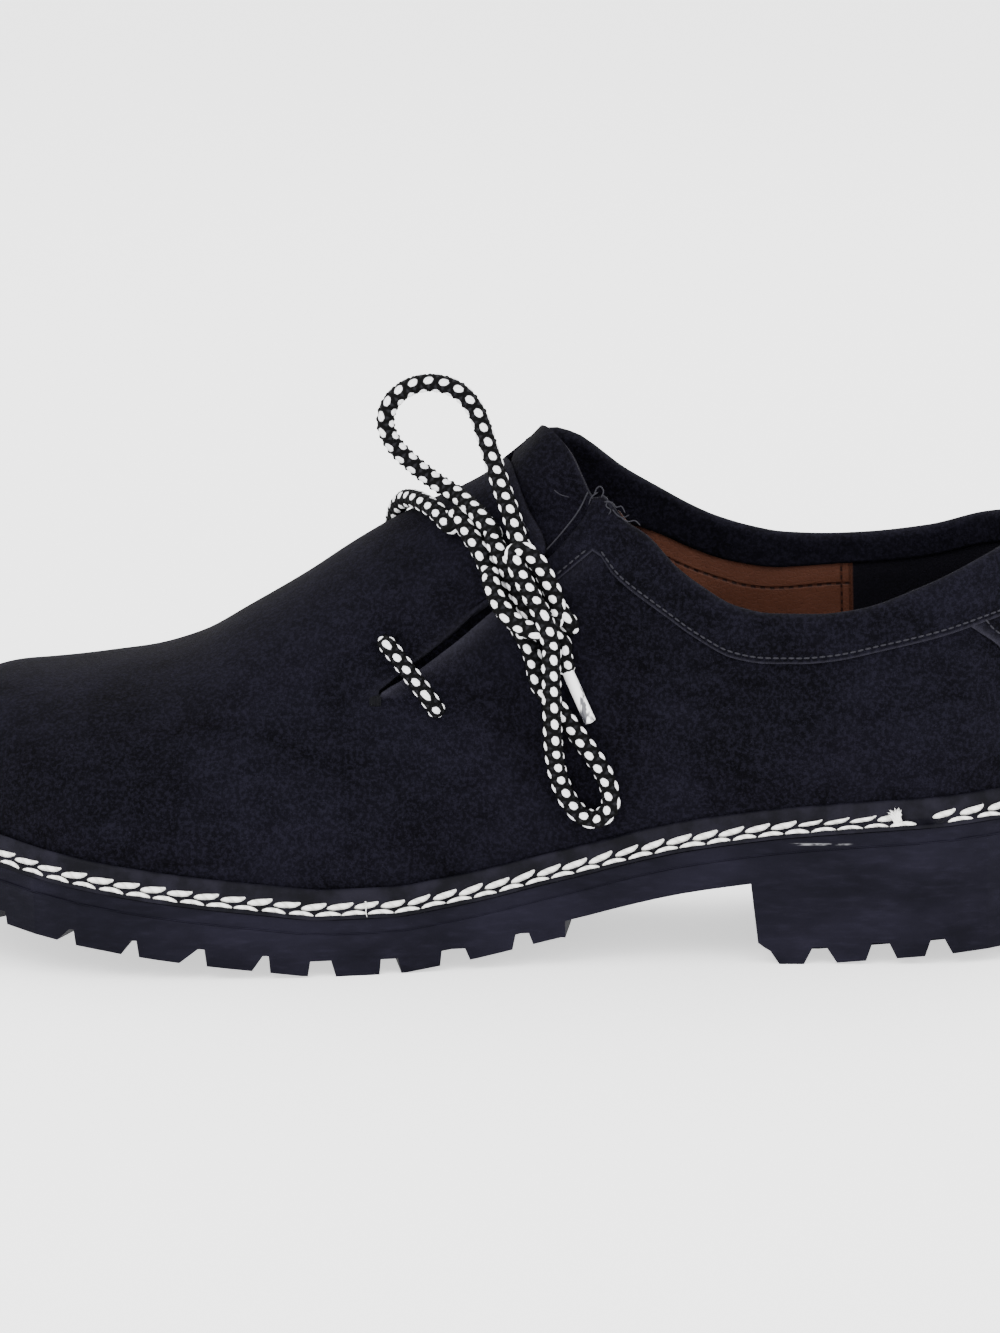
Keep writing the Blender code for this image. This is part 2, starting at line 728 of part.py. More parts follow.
def waist_cutter():
    """Takes away what lies under the waist, between the tread's end and the heel's breast."""
    fore, back = sole_x(TREAD_END), sole_x(BREAST)
    outline = [(fore, -0.02)]
    for i in range(9):
        x = fore + (back - fore) * i / 8
        outline.append((x, line_height(x) + LUG_DEPTH))
    lug_top = HEEL_LUG_DEPTH
    outline.append((back + BREAST_LEAN, lug_top + 0.0012))
    outline.append((back + BREAST_LEAN + 0.0016, lug_top))
    outline.append((back + BREAST_LEAN + HEEL_SETBACK, lug_top * 0.8))
    outline.append((back + BREAST_LEAN + HEEL_SETBACK + 0.0022, 0.0))
    outline.append((back + BREAST_LEAN + HEEL_SETBACK + 0.0022, -0.02))
    return prism("waist_cutter", outline, -0.1, 0.1)


def make_outsole(finish):
    made = plate("outsole", grown(feather_ring(), WELT_REACH), outsole_top, sole_bottom, finish)
    cut(made, waist_cutter())
    cut(made, channel_cutter())
    cut(made, cross_cutter())
    cut(made, notch_cutter())
    return made


def make_welt(upper_outside, finish):
    """The storm welt, swept round the upper. Its inner side follows the upper's own wall."""
    ring = feather_ring()
    normals = ring_normals(ring)
    bm = bmesh.new()
    rows = []
    for point, outward in zip(ring, normals):
        profile = list(WELT_PROFILE)
        for height in (RAND_HEIGHT, RAND_HEIGHT * 0.4, 0.0):
            seat = seat_height(point.x) + GAP
            profile.append((wall_reach(upper_outside, point, outward, seat + max(height, 0.0006)), height))
        row = []
        for reach, height in profile:
            spot = point + outward * reach
            row.append((spot.x, spot.y, seat_height(spot.x) + GAP + height))
        rows.append([bm.verts.new(c) for c in row])
    count = len(rows)
    for i in range(count):
        row, following = rows[i], rows[(i + 1) % count]
        for k in range(len(row)):
            n = (k + 1) % len(row)
            bm.faces.new((row[k], following[k], following[n], row[n]))
    bmesh.ops.recalc_face_normals(bm, faces=bm.faces)
    return object_of(bm, "welt", finish)


def wall_reach(outside, point, outward, z):
    """How far outside the feather line the welt's inner side lies at a height, clear of the upper."""
    start = Vector((point.x + outward.x * 0.03, point.y + outward.y * 0.03, z))
    hit = outside.ray_cast(start, Vector((-outward.x, -outward.y, 0.0)))[0]
    reach = 0.0 if hit is None else (Vector((hit.x, hit.y)) - point).dot(outward)
    return reach + WELT_CLEARANCE


def outside_tree():
    """The upper's outside as a surface to measure from."""
    angles = arch_angles()
    points = [arch_point(u, a) for u in STATIONS for a in angles]
    wide = len(angles)
    faces = []
    for i in range(len(STATIONS) - 1):
        for k in range(wide - 1):
            faces.append((i * wide + k, (i + 1) * wide + k, (i + 1) * wide + k + 1, i * wide + k + 1))
    return BVHTree.FromPolygons(points, faces)


def arch_normal(u, angle):
    """Outward direction of the upper's outside."""
    along = arch_point(u + 0.004, angle) - arch_point(u - 0.004, angle)
    around = arch_point(u, angle + 0.03) - arch_point(u, angle - 0.03)
    normal = along.cross(around).normalized()
    inward = Vector((x_at(u), SIDE_SHIFT, 0.05)) - arch_point(u, angle)
    return -normal if normal.dot(inward) > 0 else normal


def turn_at_height(u, z):
    """How far round the arch its outside reaches a height, in radians from the feather line."""
    base, height = arch_height(u)
    if height <= 0 or z >= base + height:
        return math.pi / 2
    share = max(0.0, (z - base) / height)
    return math.asin(share ** (interpolated(SECTION_ROWS, "rise", u) / 2))


def wall_turns(u, side):
    """Turns from the feather line to the free edge, or to the ridge in front of the throat."""
    column = "outer" if side == LATERAL else "inner"
    base, height = arch_height(u)
    edge = base + height
    if u < THROAT:
        edge = min(edge, interpolated(COLLAR_ROWS, column, u) * COLLAR_HEIGHT)
    top = turn_at_height(u, edge)
    band = turn_at_height(u, base + max(0.3 * (edge - base), edge - base - BAND_WIDTH))
    lower = [band * (i / WALL_STEPS) ** 1.15 for i in range(WALL_STEPS + 1)]
    return lower + [band + (top - band) * i / BAND_STEPS for i in range(1, BAND_STEPS + 1)]


def make_wall(finish):
    """The hollow upper up to its collar. The collar band is a step in the wall."""
    bm = bmesh.new()
    walls = {}
    for side in (LATERAL, MEDIAL):
        for i, u in enumerate(STATIONS):
            turns = wall_turns(u, side)
            angles = turns if side == LATERAL else [math.pi - t for t in turns]
            walls[side, i] = [arch_point(u, a) for a in angles]
    normals = wall_normals(walls)
    for side in (LATERAL, MEDIAL):
        outer, inner = [], []
        for i, u in enumerate(STATIONS):
            step = BAND_THICKNESS * (1 - smooth_step(u, BAND_FADE, BAND_FADE + 0.02))
            points, outward = walls[side, i], normals[side, i]
            row = points[:WALL_STEPS + 1]
            row += [p + n * step for p, n in zip(points[WALL_STEPS:], outward[WALL_STEPS:])]
            outer.append([bm.verts.new(p) for p in row])
            inner.append([bm.verts.new(p - n * WALL) for p, n in zip(points, outward)])
        for i in range(len(STATIONS) - 1):
            for rows in (outer, inner):
                for k in range(len(rows[0]) - 1):
                    bm.faces.new((rows[i][k], rows[i + 1][k], rows[i + 1][k + 1], rows[i][k + 1]))
            bm.faces.new((outer[i][0], outer[i + 1][0], inner[i + 1][0], inner[i][0]))
            if STATIONS[i] < THROAT:
                bm.faces.new((outer[i][-1], outer[i + 1][-1], inner[i + 1][-1], inner[i][-1]))
    bmesh.ops.remove_doubles(bm, verts=bm.verts, dist=1e-5)
    bmesh.ops.recalc_face_normals(bm, faces=bm.faces)
    return object_of(bm, "upper", finish)


def wall_normals(walls):
    """Outward directions at every point of the two side walls, smooth over heel, ridge and toe."""
    bm = bmesh.new()
    verts = {}
    for key, points in walls.items():
        verts[key] = [bm.verts.new(p) for p in points]
    for side in (LATERAL, MEDIAL):
        for i in range(len(STATIONS) - 1):
            row, following = verts[side, i], verts[side, i + 1]
            for k in range(len(row) - 1):
                corners = (row[k], following[k], following[k + 1], row[k + 1])
                bm.faces.new(corners if side == LATERAL else corners[::-1])
    bm.normal_update()
    summed = {}
    for vert in bm.verts:
        key = tuple(round(c, 5) for c in vert.co)
        total = summed.setdefault(key, Vector())
        for face in vert.link_faces:
            total += face.normal * face.calc_area()
    found = {}
    for key, row in verts.items():
        found[key] = [summed[tuple(round(c, 5) for c in v.co)].normalized() for v in row]
    middle = found[LATERAL, len(STATIONS) // 2][1]
    if middle.y > 0:
        found = {key: [-n for n in row] for key, row in found.items()}
    bm.free()
    return found


def slit_cutter():
    """The slit on the outer side and the open wedge between flap and quarter."""
    outline = [(x_at(FLAP_EDGE[0].u), 0.2)]
    outline += [(x_at(row.u), row.height * COLLAR_HEIGHT) for row in FLAP_EDGE]
    outline += [(x_at(row.u), row.height * COLLAR_HEIGHT) for row in reversed(QUARTER_EDGE)]
    outline.append((x_at(QUARTER_EDGE[0].u), 0.2))
    return prism("slit_cutter", outline, -0.1, SIDE_SHIFT)


def backstay_cutter():
    """Keeps only the strip behind the backstay's front edge."""
    outline = [(x_at(row.u), row.height * COLLAR_HEIGHT) for row in BACKSTAY_ROWS]
    low = seat_height(SOLE_LENGTH / 2) + RAND_HEIGHT + 2 * GAP
    high = COLLAR_HEIGHT - BAND_WIDTH / 2
    outline += [(outline[-1][0], low), (0.2, low), (0.2, high), (outline[0][0], outline[0][1] + 0.006)]
    return prism("backstay_cutter", outline, -0.1, 0.1)


def hole_cutter():
    bm = bmesh.new()
    for row in (BAR_FLAP_HOLE, BAR_QUARTER_HOLE, TOP_FLAP_HOLE, TOP_QUARTER_HOLE):
        angle = math.radians(row.angle)
        turn = arch_normal(row.u, angle).to_track_quat("Z", "Y").to_matrix().to_4x4()
        place = Matrix.Translation(arch_point(row.u, angle)) @ turn
        bmesh.ops.create_cone(
            bm, cap_ends=True, segments=16, radius1=LACE_HOLE / 2, radius2=LACE_HOLE / 2,
            depth=4 * WALL, matrix=place,
        )
    return cutter_of(bm, "hole_cutter")


def make_upper(finish):
    """The upper with its backstay, its slit and its lace holes."""
    made = make_wall(finish)
    backstay = shell("backstay", BACKSTAY_THICKNESS, -OVERLAY_ROOT, None)
    cut(backstay, backstay_cutter(), "INTERSECT")
    backstay.hide_render = True
    backstay.display_type = "WIRE"
    cut(made, backstay, "UNION")
    cut(made, slit_cutter())
    cut(made, hole_cutter())
    return made


def smooth_step(value, low, high):
    share = min(1.0, max(0.0, (value - low) / (high - low)))
    return share * share * (3 - 2 * share)


def make_tongue(finish):
    """The tongue under flap and quarter. It rises level with them where neither covers it."""
    columns, rows = 22, 12
    bm = bmesh.new()
    first, last = TONGUE_ROWS[0].angle, TONGUE_ROWS[-1].angle
    grid = []
    for k in range(columns + 1):
        degrees = first + (last - first) * k / columns
        top = interpolated(TONGUE_ROWS, "top", degrees)
        column = []
        for i in range(rows + 1):
            u = top + (TONGUE_FRONT - top) * (i / rows) ** 1.4
            angle = math.radians(degrees)
            cover = interpolated(TONGUE_ROWS, "cover", degrees)
            free = 1 - smooth_step(u, cover - 0.030, cover - 0.006)
            free *= smooth_step(degrees, 57, 68) * (1 - smooth_step(degrees, 90, 99))
            lift = -GAP - (WALL + TONGUE_CLEARANCE - GAP) * (1 - free)
            point, normal = arch_point(u, angle), arch_normal(u, angle)
            column.append([bm.verts.new(point + normal * d) for d in (lift, lift - TONGUE_THICKNESS)])
        grid.append(column)
    for k in range(columns):
        for i in range(rows):
            a, b, c, d = grid[k][i], grid[k + 1][i], grid[k + 1][i + 1], grid[k][i + 1]
            bm.faces.new((a[0], b[0], c[0], d[0]))
            bm.faces.new((d[1], c[1], b[1], a[1]))
    border = [(k, 0) for k in range(columns)] + [(columns, i) for i in range(rows)]
    border += [(k, rows) for k in range(columns, 0, -1)] + [(0, i) for i in range(rows, 0, -1)]
    for (k, i), (m, j) in zip(border, border[1:] + border[:1]):
        a, b = grid[k][i], grid[m][j]
        bm.faces.new((b[0], a[0], a[1], b[1]))
    bmesh.ops.recalc_face_normals(bm, faces=bm.faces)
    return object_of(bm, "tongue", finish)


def smooth_path(points, step):
    """Points about a step apart on one smooth curve through the given points."""
    points = [Vector(p) for p in points]
    padded = [2 * points[0] - points[1]] + points + [2 * points[-1] - points[-2]]
    found = []
    for a, b, c, d in zip(padded, padded[1:], padded[2:], padded[3:]):
        count = max(1, round((c - b).length / step))
        for i in range(count):
            t = i / count
            found.append(0.5 * (
                2 * b + (c - a) * t + (2 * a - 5 * b + 4 * c - d) * t * t
                + (3 * b - a - 3 * c + d) * t ** 3
            ))
    return found + [points[-1]]


def make_cord(name, points, width, finish, step=2.2):
    """A plain round cord along a smooth curve, with capped ends."""
    curve = bpy.data.curves.new(name, "CURVE")
    curve.dimensions = "3D"
    curve.bevel_depth = width / 2
    curve.bevel_resolution = 2
    curve.resolution_u = 1
    curve.render_resolution_u = 0
    curve.use_fill_caps = True
    spline = curve.splines.new("POLY")
    route = smooth_path(points, step * width)
    spline.points.add(len(route) - 1)
    for slot, point in zip(spline.points, route):
        slot.co = (*point, 1.0)
    made = bpy.data.objects.new(name, curve)
    bpy.context.scene.collection.objects.link(made)
    curve.materials.append(finish)
    return made


def tube(name, centres, radius, finish, sides=10):
    """A closed mesh tube through centre points, with flat ends."""
    bm = bmesh.new()
    rings = []
    for i, centre in enumerate(centres):
        along = centres[min(i + 1, len(centres) - 1)] - centres[max(i - 1, 0)]
        turn = along.to_track_quat("Z", "Y").to_matrix()
        ring = []
        for k in range(sides):
            a = 2 * math.pi * k / sides
            ring.append(bm.verts.new(centre + turn @ Vector((math.cos(a), math.sin(a), 0)) * radius))
        rings.append(ring)
    for ring, following in zip(rings, rings[1:]):
        for k in range(sides):
            n = (k + 1) % sides
            bm.faces.new((ring[k], ring[n], following[n], following[k]))
    bm.faces.new(rings[0][::-1])
    bm.faces.new(rings[-1])
    bmesh.ops.recalc_face_normals(bm, faces=bm.faces)
    return object_of(bm, name, finish)


def make_lace_bar(finish):
    """The lace's crossing over the slit. It dips towards its hole at each end."""
    lift = LACE_WIDTH / 2 + GAP + BAR_CROWN
    centres = []
    steps = 14
    for i in range(steps + 1):
        share = i / steps
        u = BAR_FLAP_HOLE.u + (BAR_QUARTER_HOLE.u - BAR_FLAP_HOLE.u) * share
        angle = math.radians(BAR_FLAP_HOLE.angle + (BAR_QUARTER_HOLE.angle - BAR_FLAP_HOLE.angle) * share)
        height = BAR_END_HEIGHT + (lift - BAR_END_HEIGHT) * min(1.0, math.sin(math.pi * share) * 2.6)
        centres.append(arch_point(u, angle) + arch_normal(u, angle) * height)
    return tube("lace_bar", centres, LACE_WIDTH / 2, finish)


def make_knot(finish):
    """The bow's knot as one rounded body that is flatter towards the shoe."""
    path = smooth_path(KNOT, 0.0045)
    start, end = path[0], path[-1]
    outward = arch_normal(0.44, math.radians(38))
    bm = bmesh.new()
    length = (end - start).length + 2 * KNOT_OVERHANG
    along = (end - start).normalized()
    across = along.cross(outward).normalized()
    outward = across.cross(along).normalized()
    middle = path[len(path) // 2]
    rings, sides, count = [], 14, 9
    for i in range(1, count):
        s = -math.cos(math.pi * i / count)
        full = max(0.0, 1 - abs(s) ** 2.6) ** (1 / 2.6)
        centre = middle + along * (s * length / 2)
        ring = []
        for k in range(sides):
            a = 2 * math.pi * k / sides
            ring.append(bm.verts.new(
                centre + across * (math.cos(a) * KNOT_HALF_WIDTH * full)
                + outward * (math.sin(a) * KNOT_HALF_DEPTH * full)
            ))
        rings.append(ring)
    for ring, following in zip(rings, rings[1:]):
        for k in range(sides):
            n = (k + 1) % sides
            bm.faces.new((ring[k], ring[n], following[n], following[k]))
    for ring, s in ((rings[0], -1), (rings[-1], 1)):
        tip = bm.verts.new(middle + along * (s * length / 2))
        for k in range(sides):
            bm.faces.new((ring[k], ring[(k + 1) % sides], tip))
    bmesh.ops.recalc_face_normals(bm, faces=bm.faces)
    return object_of(bm, "lace_knot", finish)


def main():
    for old in list(bpy.data.objects):
        bpy.data.objects.remove(old)
    rubber = material("rubber", (0.022, 0.021, 0.026), 0.55)
    welt_leather = material("welt_leather", (0.02, 0.02, 0.024), 0.4)
    suede = material("suede", (0.012, 0.012, 0.016), 0.95)
    lining = material("lining_leather", (0.16, 0.07, 0.035), 0.6)
    braid = material("lace_braid", (0.12, 0.12, 0.12), 0.8)
    plastic = material("lace_tip", (0.6, 0.6, 0.6), 0.3)

    make_outsole(rubber)
    plate("midsole", grown(feather_ring(), WELT_REACH - MIDSOLE_INSET), seat_height,
          lambda x: seat_height(x) - MIDSOLE_THICKNESS, rubber)
    make_welt(outside_tree(), welt_leather)
    make_upper(suede)
    make_tongue(suede)
    plate("insole", grown(feather_ring(), -WALL - INSOLE_CLEARANCE),
          lambda x: seat_height(x) + GAP + INSOLE_THICKNESS, lambda x: seat_height(x) + GAP, lining)
    make_lace_bar(braid)
    make_knot(braid)
    make_cord("lace_loop_upper", LOOP_UPPER, LACE_WIDTH, braid)
    make_cord("lace_loop_lower", LOOP_LOWER, LACE_WIDTH, braid)
    make_cord("lace_end_upper", END_UPPER, LACE_WIDTH, braid)
    make_cord("lace_end_lower", END_LOWER, LACE_WIDTH, braid)
    tube("tip_upper", [Vector(p) for p in TIP_UPPER], TIP_WIDTH / 2, plastic)
    tube("tip_lower", [Vector(p) for p in TIP_LOWER], TIP_WIDTH / 2, plastic)


main()
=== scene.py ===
# %% [markdown]
# # Dressing a side-laced country shoe
# A black suede left shoe with a lugged rubber sole, a storm welt sewn with two rows of thick off-white
# thread, and a dotted round lace tied in a bow at the outer side. The imported CAD model is loaded first as a
# fixed frame. Most pieces below take their place from the same tables as the CAD. The turns of the knot,
# the frayed threads and the colours were set against the photograph.

# %% Load the frame
import bisect
import math
import random

import bmesh
import bpy
from mathutils import Matrix, Vector, noise


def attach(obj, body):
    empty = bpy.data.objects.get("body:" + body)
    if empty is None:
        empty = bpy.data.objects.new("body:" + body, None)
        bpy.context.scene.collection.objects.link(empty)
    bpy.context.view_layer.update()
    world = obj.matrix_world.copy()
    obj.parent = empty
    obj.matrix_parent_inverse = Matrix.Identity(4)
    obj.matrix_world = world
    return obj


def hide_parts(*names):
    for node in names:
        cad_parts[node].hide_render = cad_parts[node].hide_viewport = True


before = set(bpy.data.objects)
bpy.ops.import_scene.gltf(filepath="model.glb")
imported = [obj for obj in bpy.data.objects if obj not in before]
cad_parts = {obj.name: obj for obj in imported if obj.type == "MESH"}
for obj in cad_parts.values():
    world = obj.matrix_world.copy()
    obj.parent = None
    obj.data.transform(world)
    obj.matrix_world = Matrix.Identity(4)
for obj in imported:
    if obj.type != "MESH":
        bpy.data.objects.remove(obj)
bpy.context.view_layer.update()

# %% [markdown]
# ## Camera
# The photograph was taken with a long lens, from a little above the sole and slightly towards the heel, and
# it is turned by about a degree. A camera far away with a long focal length gives the same flat
# perspective. Its axes are built by hand, so that one small function can later say which ray a point of the
# photograph lies on.

# %% Camera at the photograph's angle
PHOTO_SIZE = (1000, 1333)
METRES_PER_PIXEL = 0.000252
VIEW_TURN, VIEW_DOWN, VIEW_ROLL = math.radians(6.0), math.radians(12.0), math.radians(1.2)
VIEW_DISTANCE = 1.5
VIEW_TARGET = Vector((0.0054, 0.0, 0.0677))

forward = Vector((-math.sin(VIEW_TURN) * math.cos(VIEW_DOWN), math.cos(VIEW_TURN) * math.cos(VIEW_DOWN),
                  -math.sin(VIEW_DOWN)))
level = Vector((math.cos(VIEW_TURN), math.sin(VIEW_TURN), 0.0))
upright = level.cross(forward)
right = level * math.cos(VIEW_ROLL) - upright * math.sin(VIEW_ROLL)
upward = level * math.sin(VIEW_ROLL) + upright * math.cos(VIEW_ROLL)

camera_data = bpy.data.cameras.new("photo_camera")
camera_data.sensor_width = 36.0
camera_data.lens = 36.0 * VIEW_DISTANCE / (PHOTO_SIZE[1] * METRES_PER_PIXEL)
camera_data.clip_start, camera_data.clip_end = 0.05, 20.0
camera = bpy.data.objects.new("photo_camera", camera_data)
bpy.context.scene.collection.objects.link(camera)
turn = Matrix((right, upward, -forward)).transposed().to_4x4()
camera.matrix_world = Matrix.Translation(VIEW_TARGET - forward * VIEW_DISTANCE) @ turn
bpy.context.scene.camera = camera
camera_place = [round(c, 3) for c in camera.matrix_world.translation]
print("lens", round(camera_data.lens, 1), "mm, camera at", camera_place)

# %% [markdown]
# ## The last's tables
# A shoe is built on a last, a foot-shaped block. Here the last is a set of short tables: the outline at the
# sole, the height of the sole's line, and the arch that stands over each place along the shoe. They are the
# tables of the CAD source. A small class reads a column smoothly, and without overshooting, between its
# rows.

# %% A smooth reader for tables
class SmoothTable:
    """One column of a table, read smoothly between its rows and level past its ends."""

    def __init__(self, rows, column, key=0):
        pairs = sorted((row[key], row[column]) for row in rows)
        self.keys = [k for k, _ in pairs]
        self.values = [v for _, v in pairs]
        spans = [b - a for a, b in zip(self.keys, self.keys[1:])]
        rises = [(b - a) / s for a, b, s in zip(self.values, self.values[1:], spans)]
        self.slopes = [rises[0]]
        for before, after, near, far in zip(rises, rises[1:], spans, spans[1:]):
            if before * after <= 0:
                self.slopes.append(0.0)
            else:
                wide, tight = far + 2 * near, 2 * far + near
                self.slopes.append((wide + tight) / (tight / before + wide / after))
        self.slopes.append(rises[-1])

    def __call__(self, at):
        if at <= self.keys[0]:
            return self.values[0]
        if at >= self.keys[-1]:
            return self.values[-1]
        i = bisect.bisect_right(self.keys, at) - 1
        span = self.keys[i + 1] - self.keys[i]
        t = (at - self.keys[i]) / span
        return (
            self.values[i] * (1 + 2 * t) * (1 - t) ** 2
            + self.slopes[i] * span * t * (1 - t) ** 2
            + self.values[i + 1] * t * t * (3 - 2 * t)
            + self.slopes[i + 1] * span * t * t * (t - 1)
        )


# %% Named sizes and tables of the last
SOLE_LENGTH = 0.302
BALL_WIDTH = 0.107
WELT_REACH = 0.0055
HEEL_ROUND = 0.034
TOE_ROUND = 0.062
TOE_TIP_SHIFT = 0.007
TOE_SPRING = 0.0175
HEEL_PITCH = 0.0175
SEAT_STACK = 0.0142
CONE_HEIGHT = 0.160
TOE_BOX_ROUND = 0.030
HEEL_SWELL = 0.0026
HEEL_LEAN = 0.0050
HEEL_BACK_HEIGHT = 0.070
COLLAR_HEIGHT = 0.106
WALL = 0.0022
GAP = 0.0003
LACE_WIDTH = 0.0048
BRAID_SWELLING = 0.0004
SLEEVE_WIDTH = 0.0030
THROAT = 0.472
FEATHER_LENGTH = SOLE_LENGTH - 2 * WELT_REACH
HALF_FEATHER = BALL_WIDTH / 2 - WELT_REACH
LATERAL, MEDIAL = -1, 1

# u, outer and inner half-widths
FEATHER_ROWS = (
    (0.00, 0.64, 0.64), (0.12, 0.650, 0.650), (0.25, 0.655, 0.610), (0.40, 0.710, 0.545),
    (0.50, 0.815, 0.570), (0.60, 0.945, 0.710), (0.68, 1.030, 0.850), (0.75, 1.050, 0.955),
    (0.82, 1.030, 0.990), (0.90, 0.970, 0.970), (1.00, 0.880, 0.900),
)
# u, toe spring share, heel pitch share
LINE_ROWS = (
    (0.00, 0.0, 1.270), (0.07, 0.0, 1.230), (0.11, 0.0, 1.170), (0.185, 0.0, 1.075), (0.242, 0.0, 0.995),
    (0.285, 0.0, 0.905), (0.325, 0.0, 0.805), (0.368, 0.0, 0.650), (0.407, 0.0, 0.485), (0.447, 0.0, 0.335),
    (0.485, 0.0, 0.190), (0.523, 0.0, 0.080), (0.56, 0.0, 0.0), (0.61, 0.0, 0.0), (0.66, 0.100, 0.0),
    (0.73, 0.245, 0.0), (0.818, 0.475, 0.0), (0.881, 0.675, 0.0), (1.00, 1.080, 0.0),
)
# u, top, ridge, swell, rise power, side power
SECTION_ROWS = (
    (0.00, 1.000, 0.00, 0.060, 2.6, 2.3), (0.20, 0.990, 0.00, 0.080, 2.6, 2.3),
    (0.33, 0.925, 0.02, 0.060, 2.5, 2.2), (0.39, 0.842, 0.04, 0.040, 2.3, 2.1),
    (0.434, 0.783, 0.06, 0.030, 2.2, 2.05), (0.455, 0.756, 0.06, 0.025, 2.2, 2.05),
    (0.480, 0.731, 0.07, 0.020, 2.1, 2.0), (0.527, 0.696, 0.08, 0.015, 2.0, 1.95),
    (0.572, 0.657, 0.08, 0.015, 1.95, 1.9), (0.617, 0.609, 0.08, 0.020, 1.95, 1.9),
    (0.658, 0.561, 0.09, 0.025, 2.0, 1.95), (0.703, 0.513, 0.10, 0.030, 2.1, 2.0),
    (0.747, 0.468, 0.11, 0.030, 2.2, 2.1), (0.792, 0.443, 0.12, 0.030, 2.3, 2.2),
    (0.837, 0.431, 0.12, 0.025, 2.4, 2.3), (0.900, 0.420, 0.12, 0.015, 2.5, 2.3),
    (1.00, 0.410, 0.12, 0.000, 2.5, 2.3),
)
# u, outer and inner height of the collar's edge
COLLAR_ROWS = (
    (0.472, 1.127, 1.127), (0.431, 1.127, 1.160), (0.407, 1.118, 1.146), (0.390, 1.100, 1.118),
    (0.369, 1.040, 1.075), (0.345, 1.000, 1.032), (0.320, 0.928, 0.990), (0.300, 0.886, 0.962),
    (0.270, 0.838, 0.934), (0.240, 0.821, 0.917), (0.200, 0.820, 0.911), (0.165, 0.832, 0.914),
    (0.110, 0.884, 0.930), (0.055, 0.945, 0.970), (0.000, 1.000, 1.000),
)
# The quarter's edge along the slit and above it: u, height
QUARTER_EDGE = (
    (0.3880, 1.104), (0.3985, 1.045), (0.4130, 0.994), (0.4290, 0.947), (0.4785, 0.832), (0.5080, 0.762),
    (0.5380, 0.699), (0.5740, 0.630),
)
# The flap's edge: u, height
FLAP_EDGE = (
    (0.4720, 1.127), (0.4515, 1.050), (0.4330, 0.950), (0.4820, 0.844), (0.5110, 0.776), (0.5400, 0.715),
    (0.5740, 0.642),
)
SLIT_END = (0.575, 0.626)

# u, how far the throat's top stands off the last, in mm
LOBE_ROWS = (
    (0.380, 0.0), (0.397, 1.7), (0.406, 3.0), (0.4227, 4.2), (0.431, 4.5), (0.4485, 3.7), (0.457, 3.1),
    (0.4725, 2.3), (0.479, 1.6), (0.493, 0.7), (0.514, 0.0),
)

OUTER, INNER = SmoothTable(FEATHER_ROWS, 1), SmoothTable(FEATHER_ROWS, 2)
LOBE = SmoothTable(LOBE_ROWS, 1)
TOE_LINE, HEEL_LINE = SmoothTable(LINE_ROWS, 1), SmoothTable(LINE_ROWS, 2)
TOP, RIDGE, SWELL, RISE, SIDE = (SmoothTable(SECTION_ROWS, column) for column in range(1, 6))
COLLAR = {LATERAL: SmoothTable(COLLAR_ROWS, 1), MEDIAL: SmoothTable(COLLAR_ROWS, 2)}
print("feather line", round(FEATHER_LENGTH * 1000), "mm long,", len(SECTION_ROWS), "cross-sections")


# %% [markdown]
# ## The arch
# One function gives every point of the upper's outside: u runs from heel 0 to toe 1, and the angle goes
# round the shoe, from the feather line at the outer side, over the ridge, to the inner side. Its normal
# comes from two small steps along the surface. Everything soft is laid on this surface with a lift, in
# metres, in or out.

# %% The arch as a function
def rounded_end(distance, radius, power=2.1):
    """How full an outline is at a distance from its end: 0 at the end, 1 from radius on."""
    if distance >= radius:
        return 1.0
    return max(0.0, 1 - (1 - max(0.0, distance) / radius) ** power) ** (1 / power)


def smooth_step(value, low, high):
    share = min(1.0, max(0.0, (value - low) / (high - low)))
    return share * share * (3 - 2 * share)


def outline_y(u, side):
    width = OUTER(u) if side == LATERAL else INNER(u)
    y = side * width * HALF_FEATHER * rounded_end(u * FEATHER_LENGTH, HEEL_ROUND)
    from_toe = (1 - u) * FEATHER_LENGTH
    if from_toe < TOE_ROUND:
        y = TOE_TIP_SHIFT + (y - TOE_TIP_SHIFT) * rounded_end(from_toe, TOE_ROUND)
    return y


SIDE_SHIFT = -(min(outline_y(i / 200, LATERAL) for i in range(201))
               + max(outline_y(i / 200, MEDIAL) for i in range(201))) / 2


def u_at(x):
    return 0.5 - x / FEATHER_LENGTH


def feather_point(u, side):
    return Vector((FEATHER_LENGTH / 2 - u * FEATHER_LENGTH, outline_y(u, side) + SIDE_SHIFT))


def seat_height(x):
    """Top of the midsole at a place along the shoe."""
    u = 0.5 - x / SOLE_LENGTH
    return SEAT_STACK + TOE_LINE(u) * TOE_SPRING + HEEL_LINE(u) * HEEL_PITCH


def arch_height(u):
    base = seat_height(FEATHER_LENGTH / 2 - u * FEATHER_LENGTH) + GAP
    return base, (TOP(u) * CONE_HEIGHT - base) * rounded_end((1 - u) * FEATHER_LENGTH, TOE_BOX_ROUND, 2.4)


